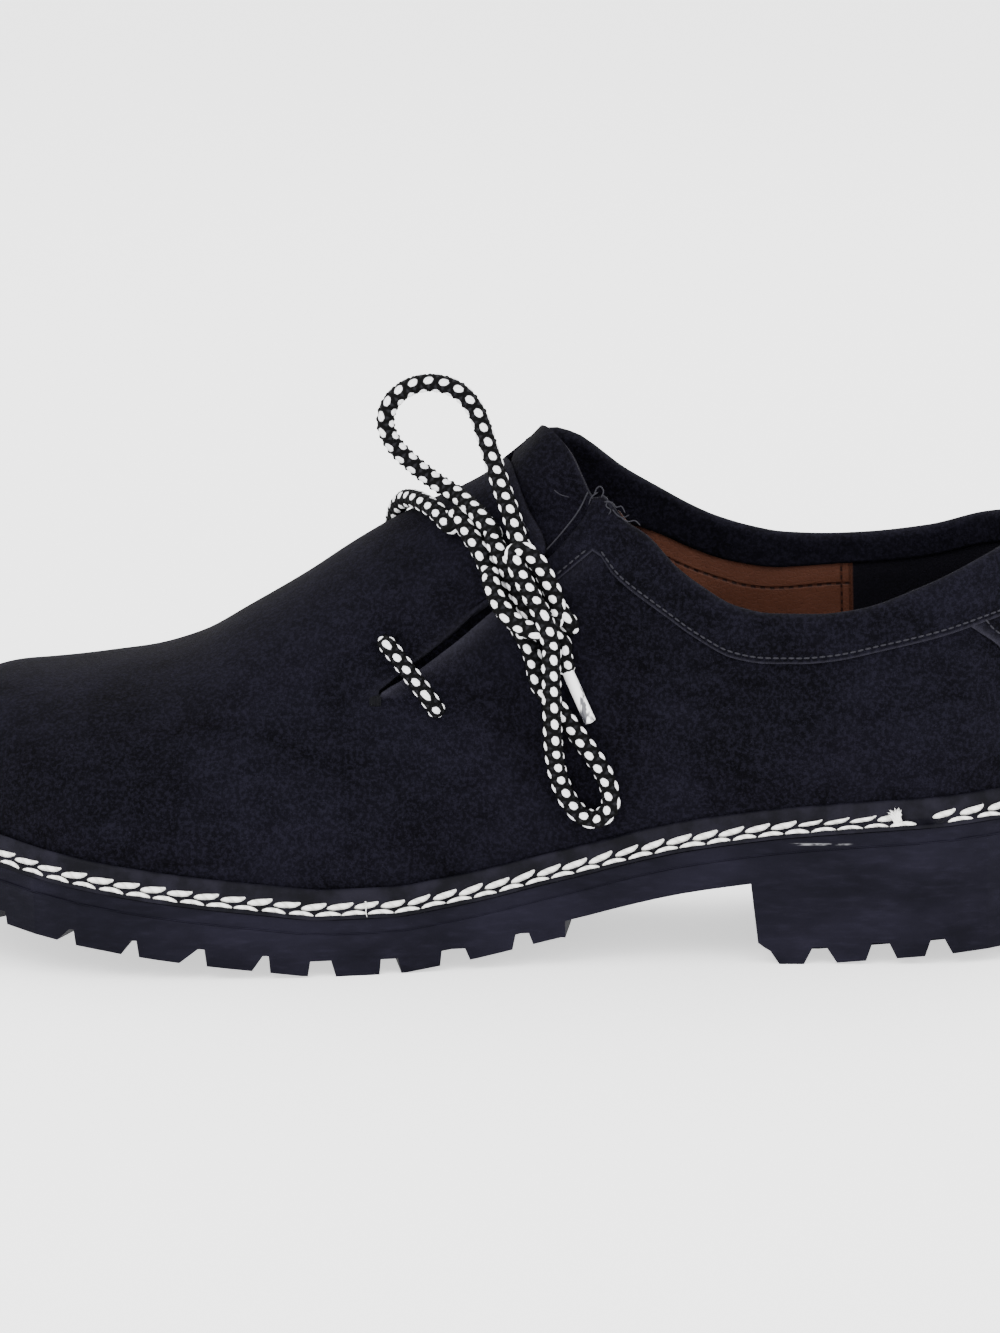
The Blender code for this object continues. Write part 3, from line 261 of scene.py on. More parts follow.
def arch_point(u, angle):
    side = LATERAL if angle <= math.pi / 2 else MEDIAL
    turned = angle if side == LATERAL else math.pi - angle
    foot = feather_point(u, side)
    base, height = arch_height(u)
    up = height * max(0.0, math.sin(turned)) ** (2 / RISE(u))
    out = max(0.0, math.cos(turned)) ** (2 / SIDE(u))
    full = min(rounded_end((1 - u) * FEATHER_LENGTH, TOE_ROUND), rounded_end(u * FEATHER_LENGTH, HEEL_ROUND))
    ridge = RIDGE(u) * HALF_FEATHER
    ridge = SIDE_SHIFT + (TOE_TIP_SHIFT + (ridge - TOE_TIP_SHIFT) * full if u > 0.5 else ridge)
    bow = 1 + SWELL(u) * math.sin(math.pi * min(1.0, up / max(1e-6, 0.75 * min(height, HEEL_BACK_HEIGHT))))
    near_heel = max(0.0, 1 - u / 0.25) ** 2
    share = up / HEEL_BACK_HEIGHT
    push = HEEL_SWELL * math.sin(math.pi * min(1.0, share)) - HEEL_LEAN * share * share
    lobe = 0.0
    if 0.37 < u < 0.52:
        lobe = LOBE(u) * 0.001 * smooth_step(angle, 0.95, 1.35) * (1 - smooth_step(angle, 2.1, 2.7))
    x = foot.x + push * near_heel - 0.4 * lobe
    return Vector((x, ridge + (foot.y - ridge) * out * bow, base + up + lobe))


def arch_normal(u, angle):
    along = arch_point(min(1.0, u + 0.004), angle) - arch_point(max(0.0, u - 0.004), angle)
    around = arch_point(u, angle + 0.03) - arch_point(u, angle - 0.03)
    normal = along.cross(around).normalized()
    inward = Vector((0.0, SIDE_SHIFT, 0.05)) - arch_point(u, angle)
    if abs(u - 0.5) < 0.45:
        inward.x = 0.0
    return -normal if normal.dot(inward) > 0 else normal


def turn_at_height(u, z):
    """How far round the arch its outside reaches a height, from 0 at the feather line to a quarter turn."""
    base, height = arch_height(u)
    if height <= 0 or z >= base + height:
        return math.pi / 2
    return math.asin(max(0.0, (z - base) / height) ** (RISE(u) / 2))


def on_side(u, z, side, lift=0.0):
    """A point over the upper's outside at a height, on the outer or the inner side."""
    turned = turn_at_height(u, z)
    angle = turned if side == LATERAL else math.pi - turned
    return arch_point(u, angle) + (arch_normal(u, angle) * lift if lift else Vector())


print("ridge at the throat:", [round(c * 1000, 1) for c in arch_point(THROAT, math.pi / 2)], "mm")

# %% [markdown]
# ## A small language for shaders
# Node trees are easier to read as sums than as drawings of wires. The class below wraps one output socket,
# and its operators add Math nodes, so that a pattern can be written as the formula that it is. Colours and
# every other kind of node go through the finish's own methods.

# %% A number that changes over a surface
class Field:
    """One number socket of a material. Arithmetic on it adds Math nodes."""

    def __init__(self, tree, socket):
        self.tree = tree
        self.socket = socket

    def math(self, operation, *others):
        node = self.tree.nodes.new("ShaderNodeMath")
        node.operation = operation
        for slot, value in zip(node.inputs, (self, *others)):
            if isinstance(value, Field):
                self.tree.links.new(value.socket, slot)
            else:
                slot.default_value = value
        return Field(self.tree, node.outputs[0])

    def __add__(self, other):
        return self.math("ADD", other)

    def __radd__(self, other):
        return self.math("ADD", other)

    def __sub__(self, other):
        return self.math("SUBTRACT", other)

    def __rsub__(self, other):
        return self.math("MULTIPLY_ADD", -1.0, other)

    def __mul__(self, other):
        return self.math("MULTIPLY", other)

    def __rmul__(self, other):
        return self.math("MULTIPLY", other)

    def __truediv__(self, other):
        return self.math("DIVIDE", other)

    def power(self, other):
        return self.math("POWER", other)

    def floor(self):
        return self.math("FLOOR")

    def size(self):
        return self.math("ABSOLUTE")

    def sine(self):
        return self.math("SINE")

    def root(self):
        return self.math("SQRT")

    def least(self, other):
        return self.math("MINIMUM", other)

    def most(self, other):
        return self.math("MAXIMUM", other)

    def rise(self, low, high):
        """0 below low, 1 above high, smooth between. low may be more than high."""
        node = self.tree.nodes.new("ShaderNodeMapRange")
        node.interpolation_type = "SMOOTHSTEP"
        turned = low > high
        values = (min(low, high), max(low, high), 1.0 if turned else 0.0, 0.0 if turned else 1.0)
        self.tree.links.new(self.socket, node.inputs[0])
        for slot, value in zip(list(node.inputs)[1:5], values):
            slot.default_value = value
        return Field(self.tree, node.outputs[0])


# %% A finish: one material and the ways to add to it
class Finish:
    """A procedural material. Its nodes come from node(), and its patterns are Field expressions."""

    def __init__(self, name, roughness=0.5, **constants):
        self.material = bpy.data.materials.new(name)
        self.material.use_nodes = True
        self.tree = self.material.node_tree
        self.shader = self.tree.nodes["Principled BSDF"]
        self.shader.inputs["Roughness"].default_value = roughness
        for socket, value in constants.items():
            self.shader.inputs[socket.replace("_", " ")].default_value = value

    def node(self, kind, settings=None, inputs=None, output=0):
        made = self.tree.nodes.new("ShaderNode" + kind)
        for key, value in (settings or {}).items():
            setattr(made, key, value)
        for key, value in (inputs or {}).items():
            if isinstance(value, Field):
                self.tree.links.new(value.socket, made.inputs[key])
            elif isinstance(value, bpy.types.NodeSocket):
                self.tree.links.new(value, made.inputs[key])
            else:
                made.inputs[key].default_value = value
        return made.outputs[output]

    def place(self):
        return self.node("TexCoord", output="Object")

    def axes(self, vector):
        split = self.node("SeparateXYZ", inputs={0: vector})
        return [Field(self.tree, s) for s in split.node.outputs]

    def stretched(self, vector, x, y, z):
        return self.node("Mapping", inputs={"Vector": vector, "Scale": (x, y, z)})

    def speckle(self, scale, detail=3.0, rough=0.55, where=None, warp=0.0):
        inputs = {"Vector": where or self.place(), "Scale": scale, "Detail": detail, "Roughness": rough,
                  "Distortion": warp}
        return Field(self.tree, self.node("TexNoise", inputs=inputs, output="Fac"))

    def cells(self, scale, where):
        inputs = {"Vector": where, "Scale": scale}
        return Field(self.tree, self.node("TexVoronoi", {"feature": "DISTANCE_TO_EDGE"}, inputs, "Distance"))

    def trait(self, name):
        return Field(self.tree, self.node("Attribute", {"attribute_name": name}, output="Fac"))

    def blend(self, first, second, share):
        """A colour between two others."""
        made = self.tree.nodes.new("ShaderNodeMix")
        made.data_type = "RGBA"
        for index, value in ((6, first), (7, second)):
            if isinstance(value, bpy.types.NodeSocket):
                self.tree.links.new(value, made.inputs[index])
            else:
                made.inputs[index].default_value = (*value, 1.0)
        self.tree.links.new(share.socket, made.inputs[0])
        return made.outputs[2]

    def colour(self, socket):
        self.tree.links.new(socket, self.shader.inputs["Base Color"])

    def gloss(self, field):
        self.tree.links.new(field.socket, self.shader.inputs["Roughness"])

    def relief(self, height, depth, strength=1.0):
        """Bumps the surface: height is 0 to 1, and depth is what 1 stands for, in metres."""
        inputs = {"Height": height, "Distance": depth, "Strength": strength}
        self.tree.links.new(self.node("Bump", inputs=inputs), self.shader.inputs["Normal"])


print("shader words:", [w for w in dir(Field) if not w.startswith("_")])

# %% [markdown]
# ## The lace's braid
# The lace is a round braid of black yarn with white yarn that shows as ovals in staggered rows, four rows
# round the cord. A picture of a braid would slide and stretch in the bends, so the pattern is written on
# the cord's own map: one unit round the cord for each row, one unit along it for half the distance between
# two ovals of a row. A point is then in an oval if it is near a place where both numbers are even or both
# are odd.

# %% Braid finish
BRAID_ROWS = 4
BRAID_STEP = 0.0019
OVAL_HALF_WIDTH, OVAL_HALF_LENGTH = 0.30, 0.60

braid = Finish("lace_braid", roughness=0.8, Specular_IOR_Level=0.08)
across, along, _ = braid.axes(braid.node("UVMap", {"uv_map": "pattern"}))
first, second = (across + along) * 0.5, (across - along) * 0.5
first_off = first - (first + 0.5).floor()
second_off = second - (second + 0.5).floor()
off_across, off_along = first_off + second_off, first_off - second_off
lean = off_along + off_across * 0.35
reach = ((off_across / OVAL_HALF_WIDTH).power(2.0) + (lean / OVAL_HALF_LENGTH).power(2.0)).root()
yarn = (along * 9.0 + across * 22.0).sine() * 0.5 + 0.5
oval = (reach + (yarn - 0.5) * 0.10).rise(1.06, 0.90)
black_yarn = (((across + along) * math.pi).sine().size()).least(((across - along) * math.pi).sine().size())
# The black yarn is darker where its strands meet and lighter on their crowns: painted shade in the grooves.
black = braid.blend((0.0006, 0.0006, 0.0008), (0.0100, 0.0100, 0.0120), black_yarn.rise(0.45, 1.0))
# The white yarn is darker between its fibre lines: painted shade.
white = braid.blend((0.74, 0.74, 0.76), (0.92, 0.92, 0.93), yarn)
braid.colour(braid.blend(black, white, oval))
braid.relief(oval * 0.55 + black_yarn * (1 - oval) * 0.35 + yarn * 0.10, 0.0004, 0.9)
print("braid:", BRAID_ROWS, "rows of ovals,", round(2 * BRAID_STEP * 1000, 2), "mm from oval to oval")


# %% [markdown]
# ## A cord from a rolled sheet
# A cord can be bevelled from a curve, but then its surface can't carry the small swellings of the braid.
# Instead a flat grid is rolled round a smooth path: one side of the grid runs along the path, the other
# round it, and the seam is merged. The frame that carries the circle is turned as little as possible from
# ring to ring, so the pattern doesn't twist.

# %% Paths and rolled tubes
def smooth_path(points, step):
    """Evenly spaced points on one smooth curve through the given points."""
    points = [Vector(p) for p in points]
    padded = [2 * points[0] - points[1]] + points + [2 * points[-1] - points[-2]]
    fine = []
    for a, b, c, d in zip(padded, padded[1:], padded[2:], padded[3:]):
        for i in range(24):
            t = i / 24
            fine.append(0.5 * (2 * b + (c - a) * t + (2 * a - 5 * b + 4 * c - d) * t * t
                               + (3 * b - a - 3 * c + d) * t ** 3))
    fine.append(points[-1])
    lengths = [0.0]
    for a, b in zip(fine, fine[1:]):
        lengths.append(lengths[-1] + (b - a).length)
    count = max(2, round(lengths[-1] / step))
    found, k = [], 0
    for i in range(count + 1):
        at = lengths[-1] * i / count
        while k < len(fine) - 2 and lengths[k + 1] < at:
            k += 1
        share = (at - lengths[k]) / max(1e-9, lengths[k + 1] - lengths[k])
        found.append(fine[k].lerp(fine[k + 1], min(1.0, share)))
    return found, lengths[-1]


def frames_along(path):
    """For each point of a path a pair of directions square to it, turned as little as possible."""
    last = len(path) - 1
    tangents = [(path[min(i + 1, last)] - path[max(i - 1, 0)]).normalized() for i in range(last + 1)]
    side = tangents[0].orthogonal().normalized()
    found = []
    for tangent in tangents:
        side = (side - tangent * side.dot(tangent)).normalized()
        found.append((side, tangent.cross(side)))
    return found


def finish_piece(bm, name, finishes, merge=1e-6, sharp=None):
    """Makes an object of a bmesh at the origin, riding on the shoe."""
    if merge:
        bmesh.ops.remove_doubles(bm, verts=bm.verts, dist=merge)
    mesh = bpy.data.meshes.new(name)
    bm.to_mesh(mesh)
    bm.free()
    made = bpy.data.objects.new(name, mesh)
    bpy.context.scene.collection.objects.link(made)
    for finish in finishes:
        mesh.materials.append(finish.material)
    mesh.shade_smooth()
    if sharp:
        mesh.set_sharp_from_angle(angle=math.radians(sharp))
    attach(made, "root")
    print(name, len(mesh.polygons), "faces")
    return made


def thicken(sheet, thickness):
    """Gives a laid sheet its thickness, inwards."""
    modifier = sheet.modifiers.new("thickness", "SOLIDIFY")
    modifier.thickness = thickness
    modifier.offset = -1.0


def turn_outwards(bm, direction):
    """Makes an open sheet's faces look along a direction, judged by the face that lies farthest along it."""
    bmesh.ops.recalc_face_normals(bm, faces=bm.faces)
    farthest = max(bm.faces, key=lambda f: f.calc_center_median().dot(Vector(direction)))
    if farthest.normal.dot(Vector(direction)) < 0:
        bmesh.ops.reverse_faces(bm, faces=bm.faces)


def frame_at(spot, x_way, y_way, z_way):
    """A matrix that stands at a spot with its axes along three directions."""
    return Matrix.Translation(spot) @ Matrix((x_way, y_way, z_way)).transposed().to_4x4()


def rolled_tube(name, points, width, finish, step=0.00032, sides=30, swelling=0.0, blunt=0.35):
    """A closed tube along a smooth path, with the braid's map and its swellings."""
    path, length = smooth_path(points, step)
    frames = frames_along(path)
    bm = bmesh.new()
    bm.loops.layers.uv.new("pattern")
    bmesh.ops.create_grid(bm, x_segments=len(path) - 1, y_segments=sides, size=0.5, calc_uvs=True)
    layer = bm.loops.layers.uv["pattern"]
    for face in bm.faces:
        for loop in face.loops:
            spot = loop.vert.co
            loop[layer].uv = ((spot.y + 0.5) * BRAID_ROWS, (spot.x + 0.5) * length / BRAID_STEP)
    rows = len(path) - 1
    for vert in bm.verts:
        i = round((vert.co.x + 0.5) * rows)
        round_share = vert.co.y + 0.5
        to_end = min(i, rows - i) * length / rows
        full = rounded_end(to_end, width * blunt, 2.0)
        radius = width / 2 * full
        if swelling:
            a, b = round_share * BRAID_ROWS, i / rows * length / BRAID_STEP
            p, q = (a + b) / 2, (a - b) / 2
            p, q = p - math.floor(p + 0.5), q - math.floor(q + 0.5)
            far = math.hypot((p + q) / 0.36, (p - q + 0.35 * (p + q)) / 0.72)
            ovals = 1 - smooth_step(far, 0.3, 1.15)
            strands = abs(math.cos(math.pi * (a + b)) * math.cos(math.pi * (a - b)))
            radius += full * swelling * (max(ovals, 1.15 * strands ** 1.5) - 1)
        first_way, second_way = frames[i]
        turned = 2 * math.pi * round_share
        vert.co = path[i] + (first_way * math.cos(turned) + second_way * math.sin(turned)) * radius
    bmesh.ops.remove_doubles(bm, verts=bm.verts, dist=2e-6)
    bmesh.ops.recalc_face_normals(bm, faces=bm.faces)
    return finish_piece(bm, name, [finish], merge=0), path, length


# %% [markdown]
# ## The route of the lace
# Two lengths of lace show: one comes out of the quarter's upper hole, the other out of the flap's. Each
# makes one loop and has one end, as in any bow, and the second is wound once round the first. The free
# stretches repeat the CAD route away from the knot. The turns inside the knot are given as places in the
# photograph with a lift above the suede, and the camera's own ray finds where on the arch that is. The knot
# is simpler than the real one.

# %% From a place in the photograph to a place on the shoe
SEARCH_REACH = 0.09
SEARCH_STEPS = 240


def seen_at(px, py, lift):
    """The point over the upper's outside that shows at a pixel of the photograph."""
    ray = (forward * VIEW_DISTANCE + right * ((px - PHOTO_SIZE[0] / 2) * METRES_PER_PIXEL)
           - upward * ((py - PHOTO_SIZE[1] / 2) * METRES_PER_PIXEL)).normalized()
    eye = camera.matrix_world.translation
    low, high = VIEW_DISTANCE - SEARCH_REACH, VIEW_DISTANCE + SEARCH_REACH
    far = None
    for i in range(SEARCH_STEPS):
        spot = eye + ray * (low + (high - low) * i / SEARCH_STEPS)
        u = u_at(spot.x)
        inside = spot.z < arch_point(u, math.pi / 2).z and spot.y > on_side(u, spot.z, LATERAL).y
        if inside:
            far = spot
            break
    if far is None:
        raise ValueError("that pixel misses the shoe")
    u = u_at(far.x)
    angle = turn_at_height(u, far.z)
    normal = arch_normal(u, angle)
    return far + normal * lift


# %% The free stretches, as in the CAD source
LOOP_UPPER = (
    (0.0110, -0.0190, 0.1100), (0.0090, -0.0158, 0.1146), (0.0066, -0.0128, 0.1208),
    (0.0042, -0.0108, 0.1280), (0.0018, -0.0094, 0.1345), (-0.0025, -0.0084, 0.1394),
    (-0.0085, -0.0077, 0.1414), (-0.0148, -0.0073, 0.1404), (-0.0196, -0.0070, 0.1366),
    (-0.0213, -0.0066, 0.1312), (-0.0193, -0.0062, 0.1256), (-0.0145, -0.0060, 0.1205),
    (-0.0092, -0.0062, 0.1163), (-0.0042, -0.0078, 0.1135), (0.0000, -0.0118, 0.1111),
    (0.0038, -0.0166, 0.1083), (0.0064, -0.0197, 0.1058),
)
LOOP_LOWER = (
    (0.0220, -0.0362, 0.0803), (0.0220, -0.0374, 0.0766), (0.0221, -0.0386, 0.0720),
    (0.0222, -0.0400, 0.0660), (0.0223, -0.0402, 0.0600), (0.0224, -0.0386, 0.0540),
    (0.0232, -0.0370, 0.0480), (0.0252, -0.0367, 0.0425), (0.0285, -0.0365, 0.0382),
    (0.0325, -0.0362, 0.0370), (0.0356, -0.0361, 0.0398), (0.0357, -0.0360, 0.0442),
    (0.0340, -0.0360, 0.0490), (0.0312, -0.0358, 0.0535), (0.0281, -0.0354, 0.0578),
    (0.0250, -0.0350, 0.0620), (0.0217, -0.0342, 0.0664), (0.0185, -0.0335, 0.0705),
)
END_UPPER = (
    (-0.0046, -0.0143, 0.1066), (-0.0092, -0.0087, 0.1095), (-0.0139, -0.0021, 0.1107),
    (-0.0174, 0.0040, 0.1101), (-0.0201, 0.0091, 0.1078), (-0.0219, 0.0137, 0.1039),
    (-0.0229, 0.0180, 0.0988), (-0.0231, 0.0215, 0.0930), (-0.0230, 0.0245, 0.0868),
)
END_LOWER = (
    (0.0240, -0.0312, 0.0803), (0.0243, -0.0318, 0.0775), (0.0249, -0.0322, 0.0752),
    (0.0258, -0.0327, 0.0728),
)
TIP_UPPER = ((-0.0230, 0.0247, 0.0864), (-0.0226, 0.0289, 0.0734))
TIP_LOWER = ((0.0260, -0.0328, 0.0724), (0.0313, -0.0349, 0.0609))

# %% The turns inside the knot
quarter_hole = seen_at(571, 628, -0.0016)
flap_hole = seen_at(503, 583, -0.0016)
# Each row: pixel across, pixel down, lift in mm
RISE_TO_LOOP = (
    (569, 622, 2.2), (560, 609, 3.4), (550, 594, 4.0), (541, 578, 3.8), (531, 560, 3.6), (523, 545, 4.0),
)
UNDER_TO_TIP = ((500, 546, 4.2), (510, 566, 4.4), (519, 588, 4.4), (529, 608, 4.0), (543, 624, 3.4))
ROUND_THE_BUNDLE = (
    (497, 578, 3.6), (500, 590, 7.2), (506, 606, 8.4), (513, 619, 9.2), (524, 629, 9.4), (537, 633, 8.6),
    (549, 631, 6.4), (557, 620, 4.4), (559, 603, 5.0), (553, 585, 6.8), (545, 570, 8.4), (534, 560, 9.6),
    (524, 562, 10.0), (524, 573, 9.8), (531, 588, 9.4), (539, 604, 9.6), (548, 620, 9.8),
)
BACK_TO_END = (
    (535, 664, 3.6), (531, 649, 3.6), (522, 632, 3.2), (512, 612, 2.8), (500, 590, 2.6), (491, 572, 2.8),
    (484, 556, 3.2), (473, 539, 3.4), (462, 523, 3.6),
)
rise_to_loop, under_to_tip, round_the_bundle, back_to_end = (
    [seen_at(px, py, lift / 1000) for px, py, lift in rows]
    for rows in (RISE_TO_LOOP, UNDER_TO_TIP, ROUND_THE_BUNDLE, BACK_TO_END)
)
rise_to_loop.insert(0, quarter_hole)
round_the_bundle.insert(0, flap_hole)

first_route = rise_to_loop + list(LOOP_UPPER) + under_to_tip + list(END_LOWER)
second_route = round_the_bundle + list(LOOP_LOWER) + back_to_end + list(END_UPPER)

first_lace, first_path, first_length = rolled_tube(
    "lace_first", first_route, LACE_WIDTH, braid, swelling=BRAID_SWELLING)
second_lace, second_path, second_length = rolled_tube(
    "lace_second", second_route, LACE_WIDTH, braid, swelling=BRAID_SWELLING)
print("lace lengths:", round(first_length * 1000), "and", round(second_length * 1000), "mm")

# %% The bar over the slit
bar_centres = []
for i in range(13):
    share = i / 12
    u = 0.571 + (0.5225 - 0.571) * share
    angle = math.radians(46.5 + (29.3 - 46.5) * share)
    height = -0.0022 + 0.0054 * min(1.0, math.sin(math.pi * share) * 2.2 + 0.12)
    bar_centres.append(arch_point(u, angle) + arch_normal(u, angle) * height)
lace_bar, _, bar_length = rolled_tube(
    "lace_crossing", bar_centres, LACE_WIDTH * 0.92, braid, swelling=BRAID_SWELLING)
print("crossing over the slit:", round(bar_length * 1000), "mm")
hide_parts("lace_bar")

# %% [markdown]
# ## The lace tips
# Each end is sealed in a short sleeve of clear film, through which the pale yarn shows. It is a tube with
# rounded ends. Its finish is a glossy one, streaked along the sleeve.

# %% Sleeves on the ends
sleeve = Finish("lace_tip_film", roughness=0.22, Coat_Weight=0.6, Coat_Roughness=0.12)
streak = sleeve.speckle(380.0, 4.0, 0.6, sleeve.stretched(sleeve.place(), 1.0, 1.0, 0.16))
sleeve.colour(sleeve.blend((0.05, 0.05, 0.06), (0.90, 0.90, 0.91), streak.rise(0.42, 0.50)))
sleeve.relief(streak, 0.00025, 0.6)

tips = {}
for name, ends in (("tip_upper", TIP_UPPER), ("tip_lower", TIP_LOWER)):
    start, end = Vector(ends[0]), Vector(ends[1])
    start = start + (start - end).normalized() * (0.0012 if name == "tip_upper" else 0.0034)
    centres = [start.lerp(end, i / 6) for i in range(7)]
    tips[name], _, _ = rolled_tube(
        "sleeve_" + name, centres, SLEEVE_WIDTH, sleeve, sides=18, blunt=0.2)
    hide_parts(name)

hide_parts("lace_loop_upper", "lace_end_lower", "lace_knot")
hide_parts("lace_loop_lower", "lace_end_upper")

# %% [markdown]
# ## Suede
# Suede is leather with its fibres raised. It is matt, its nap lies in soft lighter and darker patches where
# it has been brushed one way or the other, and the cut or folded edges are a little paler, partly where the
# fibres are worn and partly as a painted highlight where the edges catch the light. So the colour mixes a
# wide soft noise with a fine one, and a value stored on the mesh pales the edges, as worn edges and painted
# highlight.

# %% Suede finish
def suede_finish(name, dark, light, edge):
    made = Finish(name, roughness=0.95, Specular_IOR_Level=0.05)
    place = made.place()
    patches = made.speckle(34.0, 3.0, 0.55, place, 0.6)
    brushed = made.speckle(260.0, 3.0, 0.6, made.stretched(place, 0.45, 1.0, 1.0))
    tufts = made.speckle(1050.0, 3.0, 0.75, place)
    fibres = made.speckle(2600.0, 2.0, 0.7, place)
    tone = patches.rise(0.35, 0.68) * 0.26 + brushed.rise(0.3, 0.7) * 0.18 + tufts.rise(0.42, 0.64) * 0.56
    # Paler edges: partly worn fibres, partly a painted highlight where the edge catches the light.
    worn = made.trait("edge_wear_and_highlight") * (0.35 + tufts * 0.9)
    made.colour(made.blend(made.blend(dark, light, tone), edge, worn))
    made.relief(tufts * 0.6 + fibres * 0.4, 0.0005, 0.9)
    return made


suede = suede_finish("black_suede", (0.0005, 0.0004, 0.0010), (0.0066, 0.0061, 0.0112), (0.021, 0.020, 0.028))
print("suede nodes:", len(suede.tree.nodes))


# %% [markdown]
# ## The upper as four laid panels
# A flat grid is laid on the last for each panel, as a shoemaker lasts cut leather: the outer quarter behind
# the slit, the outer side of the vamp in front of it, and the inner side in two parts that meet below the
# throat. The first two panels run along the slit's own edges, so these are clean lines of the mesh. Where
# panels meet they share their points, and the points are merged. Solidify then gives the leather its
# thickness.

# %% Where each panel's columns and rows lie
LOW_ROWS, HIGH_ROWS = 30, 34
SPLIT_HEIGHT = SLIT_END[1] * COLLAR_HEIGHT
QUARTER_LINE = SmoothTable([(h, u) for u, h in QUARTER_EDGE] + [(SLIT_END[1], SLIT_END[0])], 1)
flap_rows = [(turn_at_height(u, h * COLLAR_HEIGHT), u) for u, h in FLAP_EDGE]
SPLIT_TURN = turn_at_height(SLIT_END[0], SPLIT_HEIGHT)
FLAP_LINE = SmoothTable(flap_rows + [(SPLIT_TURN, SLIT_END[0])], 1)
EDGE_DROP = 0.0020


def collar_height(u, side, drop=0.0):
    return COLLAR[side](u) * COLLAR_HEIGHT - drop


def between_turns(u, low_turn, top_turn, share, flat):
    """A turn between two others: by even heights, or by even angles where flat is 1."""
    low_z = arch_point(u, low_turn).z
    top_z = arch_point(u, top_turn).z
    by_height = turn_at_height(u, low_z + (top_z - low_z) * share)
    return by_height * (1 - flat) + (low_turn + (top_turn - low_turn) * share) * flat


def quarter_spot(s, row, drop):
    """The outer quarter: s runs from the heel to the slit."""
    s = 1 - math.cos(math.pi / 2 * s)
    if row <= LOW_ROWS:
        u = s * SLIT_END[0]
        return u, turn_at_height(u, SPLIT_HEIGHT) * (row / LOW_ROWS) ** 1.15
    w = (row - LOW_ROWS) / HIGH_ROWS
    top_u = s * QUARTER_LINE(9.0)
    height = SLIT_END[1] + (QUARTER_EDGE[0][1] - SLIT_END[1]) * w
    u = s * QUARTER_LINE(height)
    u -= s * drop * 1.1 / FEATHER_LENGTH * smooth_step(u, 0.30, 0.37) * (1 - smooth_step(u, 0.44, 0.47))
    z = SPLIT_HEIGHT + (collar_height(top_u, LATERAL, drop) - SPLIT_HEIGHT) * w
    return u, turn_at_height(u, z)


def vamp_spot(s, row, drop):
    """The outer side of the vamp and the flap: s runs from the slit to the toe."""
    s = math.sin(math.pi / 2 * s)
    if row <= LOW_ROWS:
        u = SLIT_END[0] + s * (1 - SLIT_END[0])
        return u, SPLIT_TURN * (row / LOW_ROWS) ** 1.15
    turned = SPLIT_TURN + (math.pi / 2 - SPLIT_TURN) * (row - LOW_ROWS) / HIGH_ROWS
    edge = FLAP_LINE(turned) if turned < math.pi / 2 - 1e-6 else THROAT
    return edge + s * (1 - edge), turned


def inner_spot(u, row, drop):
    """The inner side from the heel to the toe. In front of the throat it ends at the ridge."""
    top = math.pi / 2
    if u < THROAT:
        top = turn_at_height(u, collar_height(u, MEDIAL, drop * (1 - smooth_step(u, 0.40, THROAT))))
    flat = smooth_step(u, 0.28, THROAT)
    low = turn_at_height(u, SPLIT_HEIGHT) * (1 - flat) + SPLIT_TURN * flat
    if row <= LOW_ROWS:
        return u, math.pi - low * (row / LOW_ROWS) ** 1.15
    return u, math.pi - between_turns(u, low, top, (row - LOW_ROWS) / HIGH_ROWS, flat)


def inner_back_spot(s, row, drop):
    return inner_spot(THROAT * (1 - math.cos(math.pi / 2 * s)), row, drop)


def inner_front_spot(s, row, drop):
    u = THROAT + (1 - THROAT) * math.sin(math.pi / 2 * s)
    return inner_spot(u, row, drop)


PANELS = ((quarter_spot, 118), (vamp_spot, 100), (inner_back_spot, 100), (inner_front_spot, 100))


def laid_panels(bm, lift, drop, density=1.0, wear_and_highlight=None, keep=None):
    """Lays the four grids on the arch with a lift, and merges them."""
    rows = LOW_ROWS + HIGH_ROWS
    for spot_of, columns in PANELS:
        columns = round(columns * density)
        made = bmesh.ops.create_grid(bm, x_segments=columns, y_segments=rows, size=0.5)["verts"]
        for vert in made:
            s = min(1.0, max(0.0, round((vert.co.x + 0.5) * columns) / columns))
            row = round((vert.co.y + 0.5) * rows)
            u, angle = spot_of(s, row, drop)
            spot = arch_point(u, angle)
            if callable(lift):
                spot += arch_normal(u, angle) * lift(u, angle, spot)
            elif lift:
                spot += arch_normal(u, angle) * lift
            vert.co = spot
            # The quarter's front edge and the flap's edge by the slit are paled: partly worn, partly painted
            # highlight.
            if wear_and_highlight is not None:
                near = 0.0
                if row > LOW_ROWS and spot_of is quarter_spot:
                    near = math.exp(-(1 - s) * columns / 1.2)
                if row > LOW_ROWS and spot_of is vamp_spot:
                    near = 0.25 * math.exp(-s * columns / 1.2)
                vert[wear_and_highlight] = near
    bmesh.ops.remove_doubles(bm, verts=bm.verts, dist=3e-5)
    bmesh.ops.recalc_face_normals(bm, faces=bm.faces)
    highest = max(bm.faces, key=lambda f: f.calc_center_median().z if f.calc_center_median().x < 0 else -1)
    if highest.normal.z < 0:
        bmesh.ops.reverse_faces(bm, faces=bm.faces)


# %% [markdown]
# ## Softness, holes and the lifted flap
# Leather over a last isn't a perfect surface. It sinks where the lace pulls it into a hole, its slit gapes
# a little at the upper lip, and it is slack by a fraction of a millimetre. These are small lifts added
# before the leather gets its thickness.

# %% The suede upper
# u and degrees round the arch
HOLES = ((0.571, 46.5), (0.5195, 28.0), (0.4660, 47.0), (0.4210, 31.5))
hole_spots = [arch_point(u, math.radians(angle)) for u, angle in HOLES]
slit_middle = [arch_point(u, turn_at_height(u, h * COLLAR_HEIGHT)) for u, h in QUARTER_EDGE[3:]]


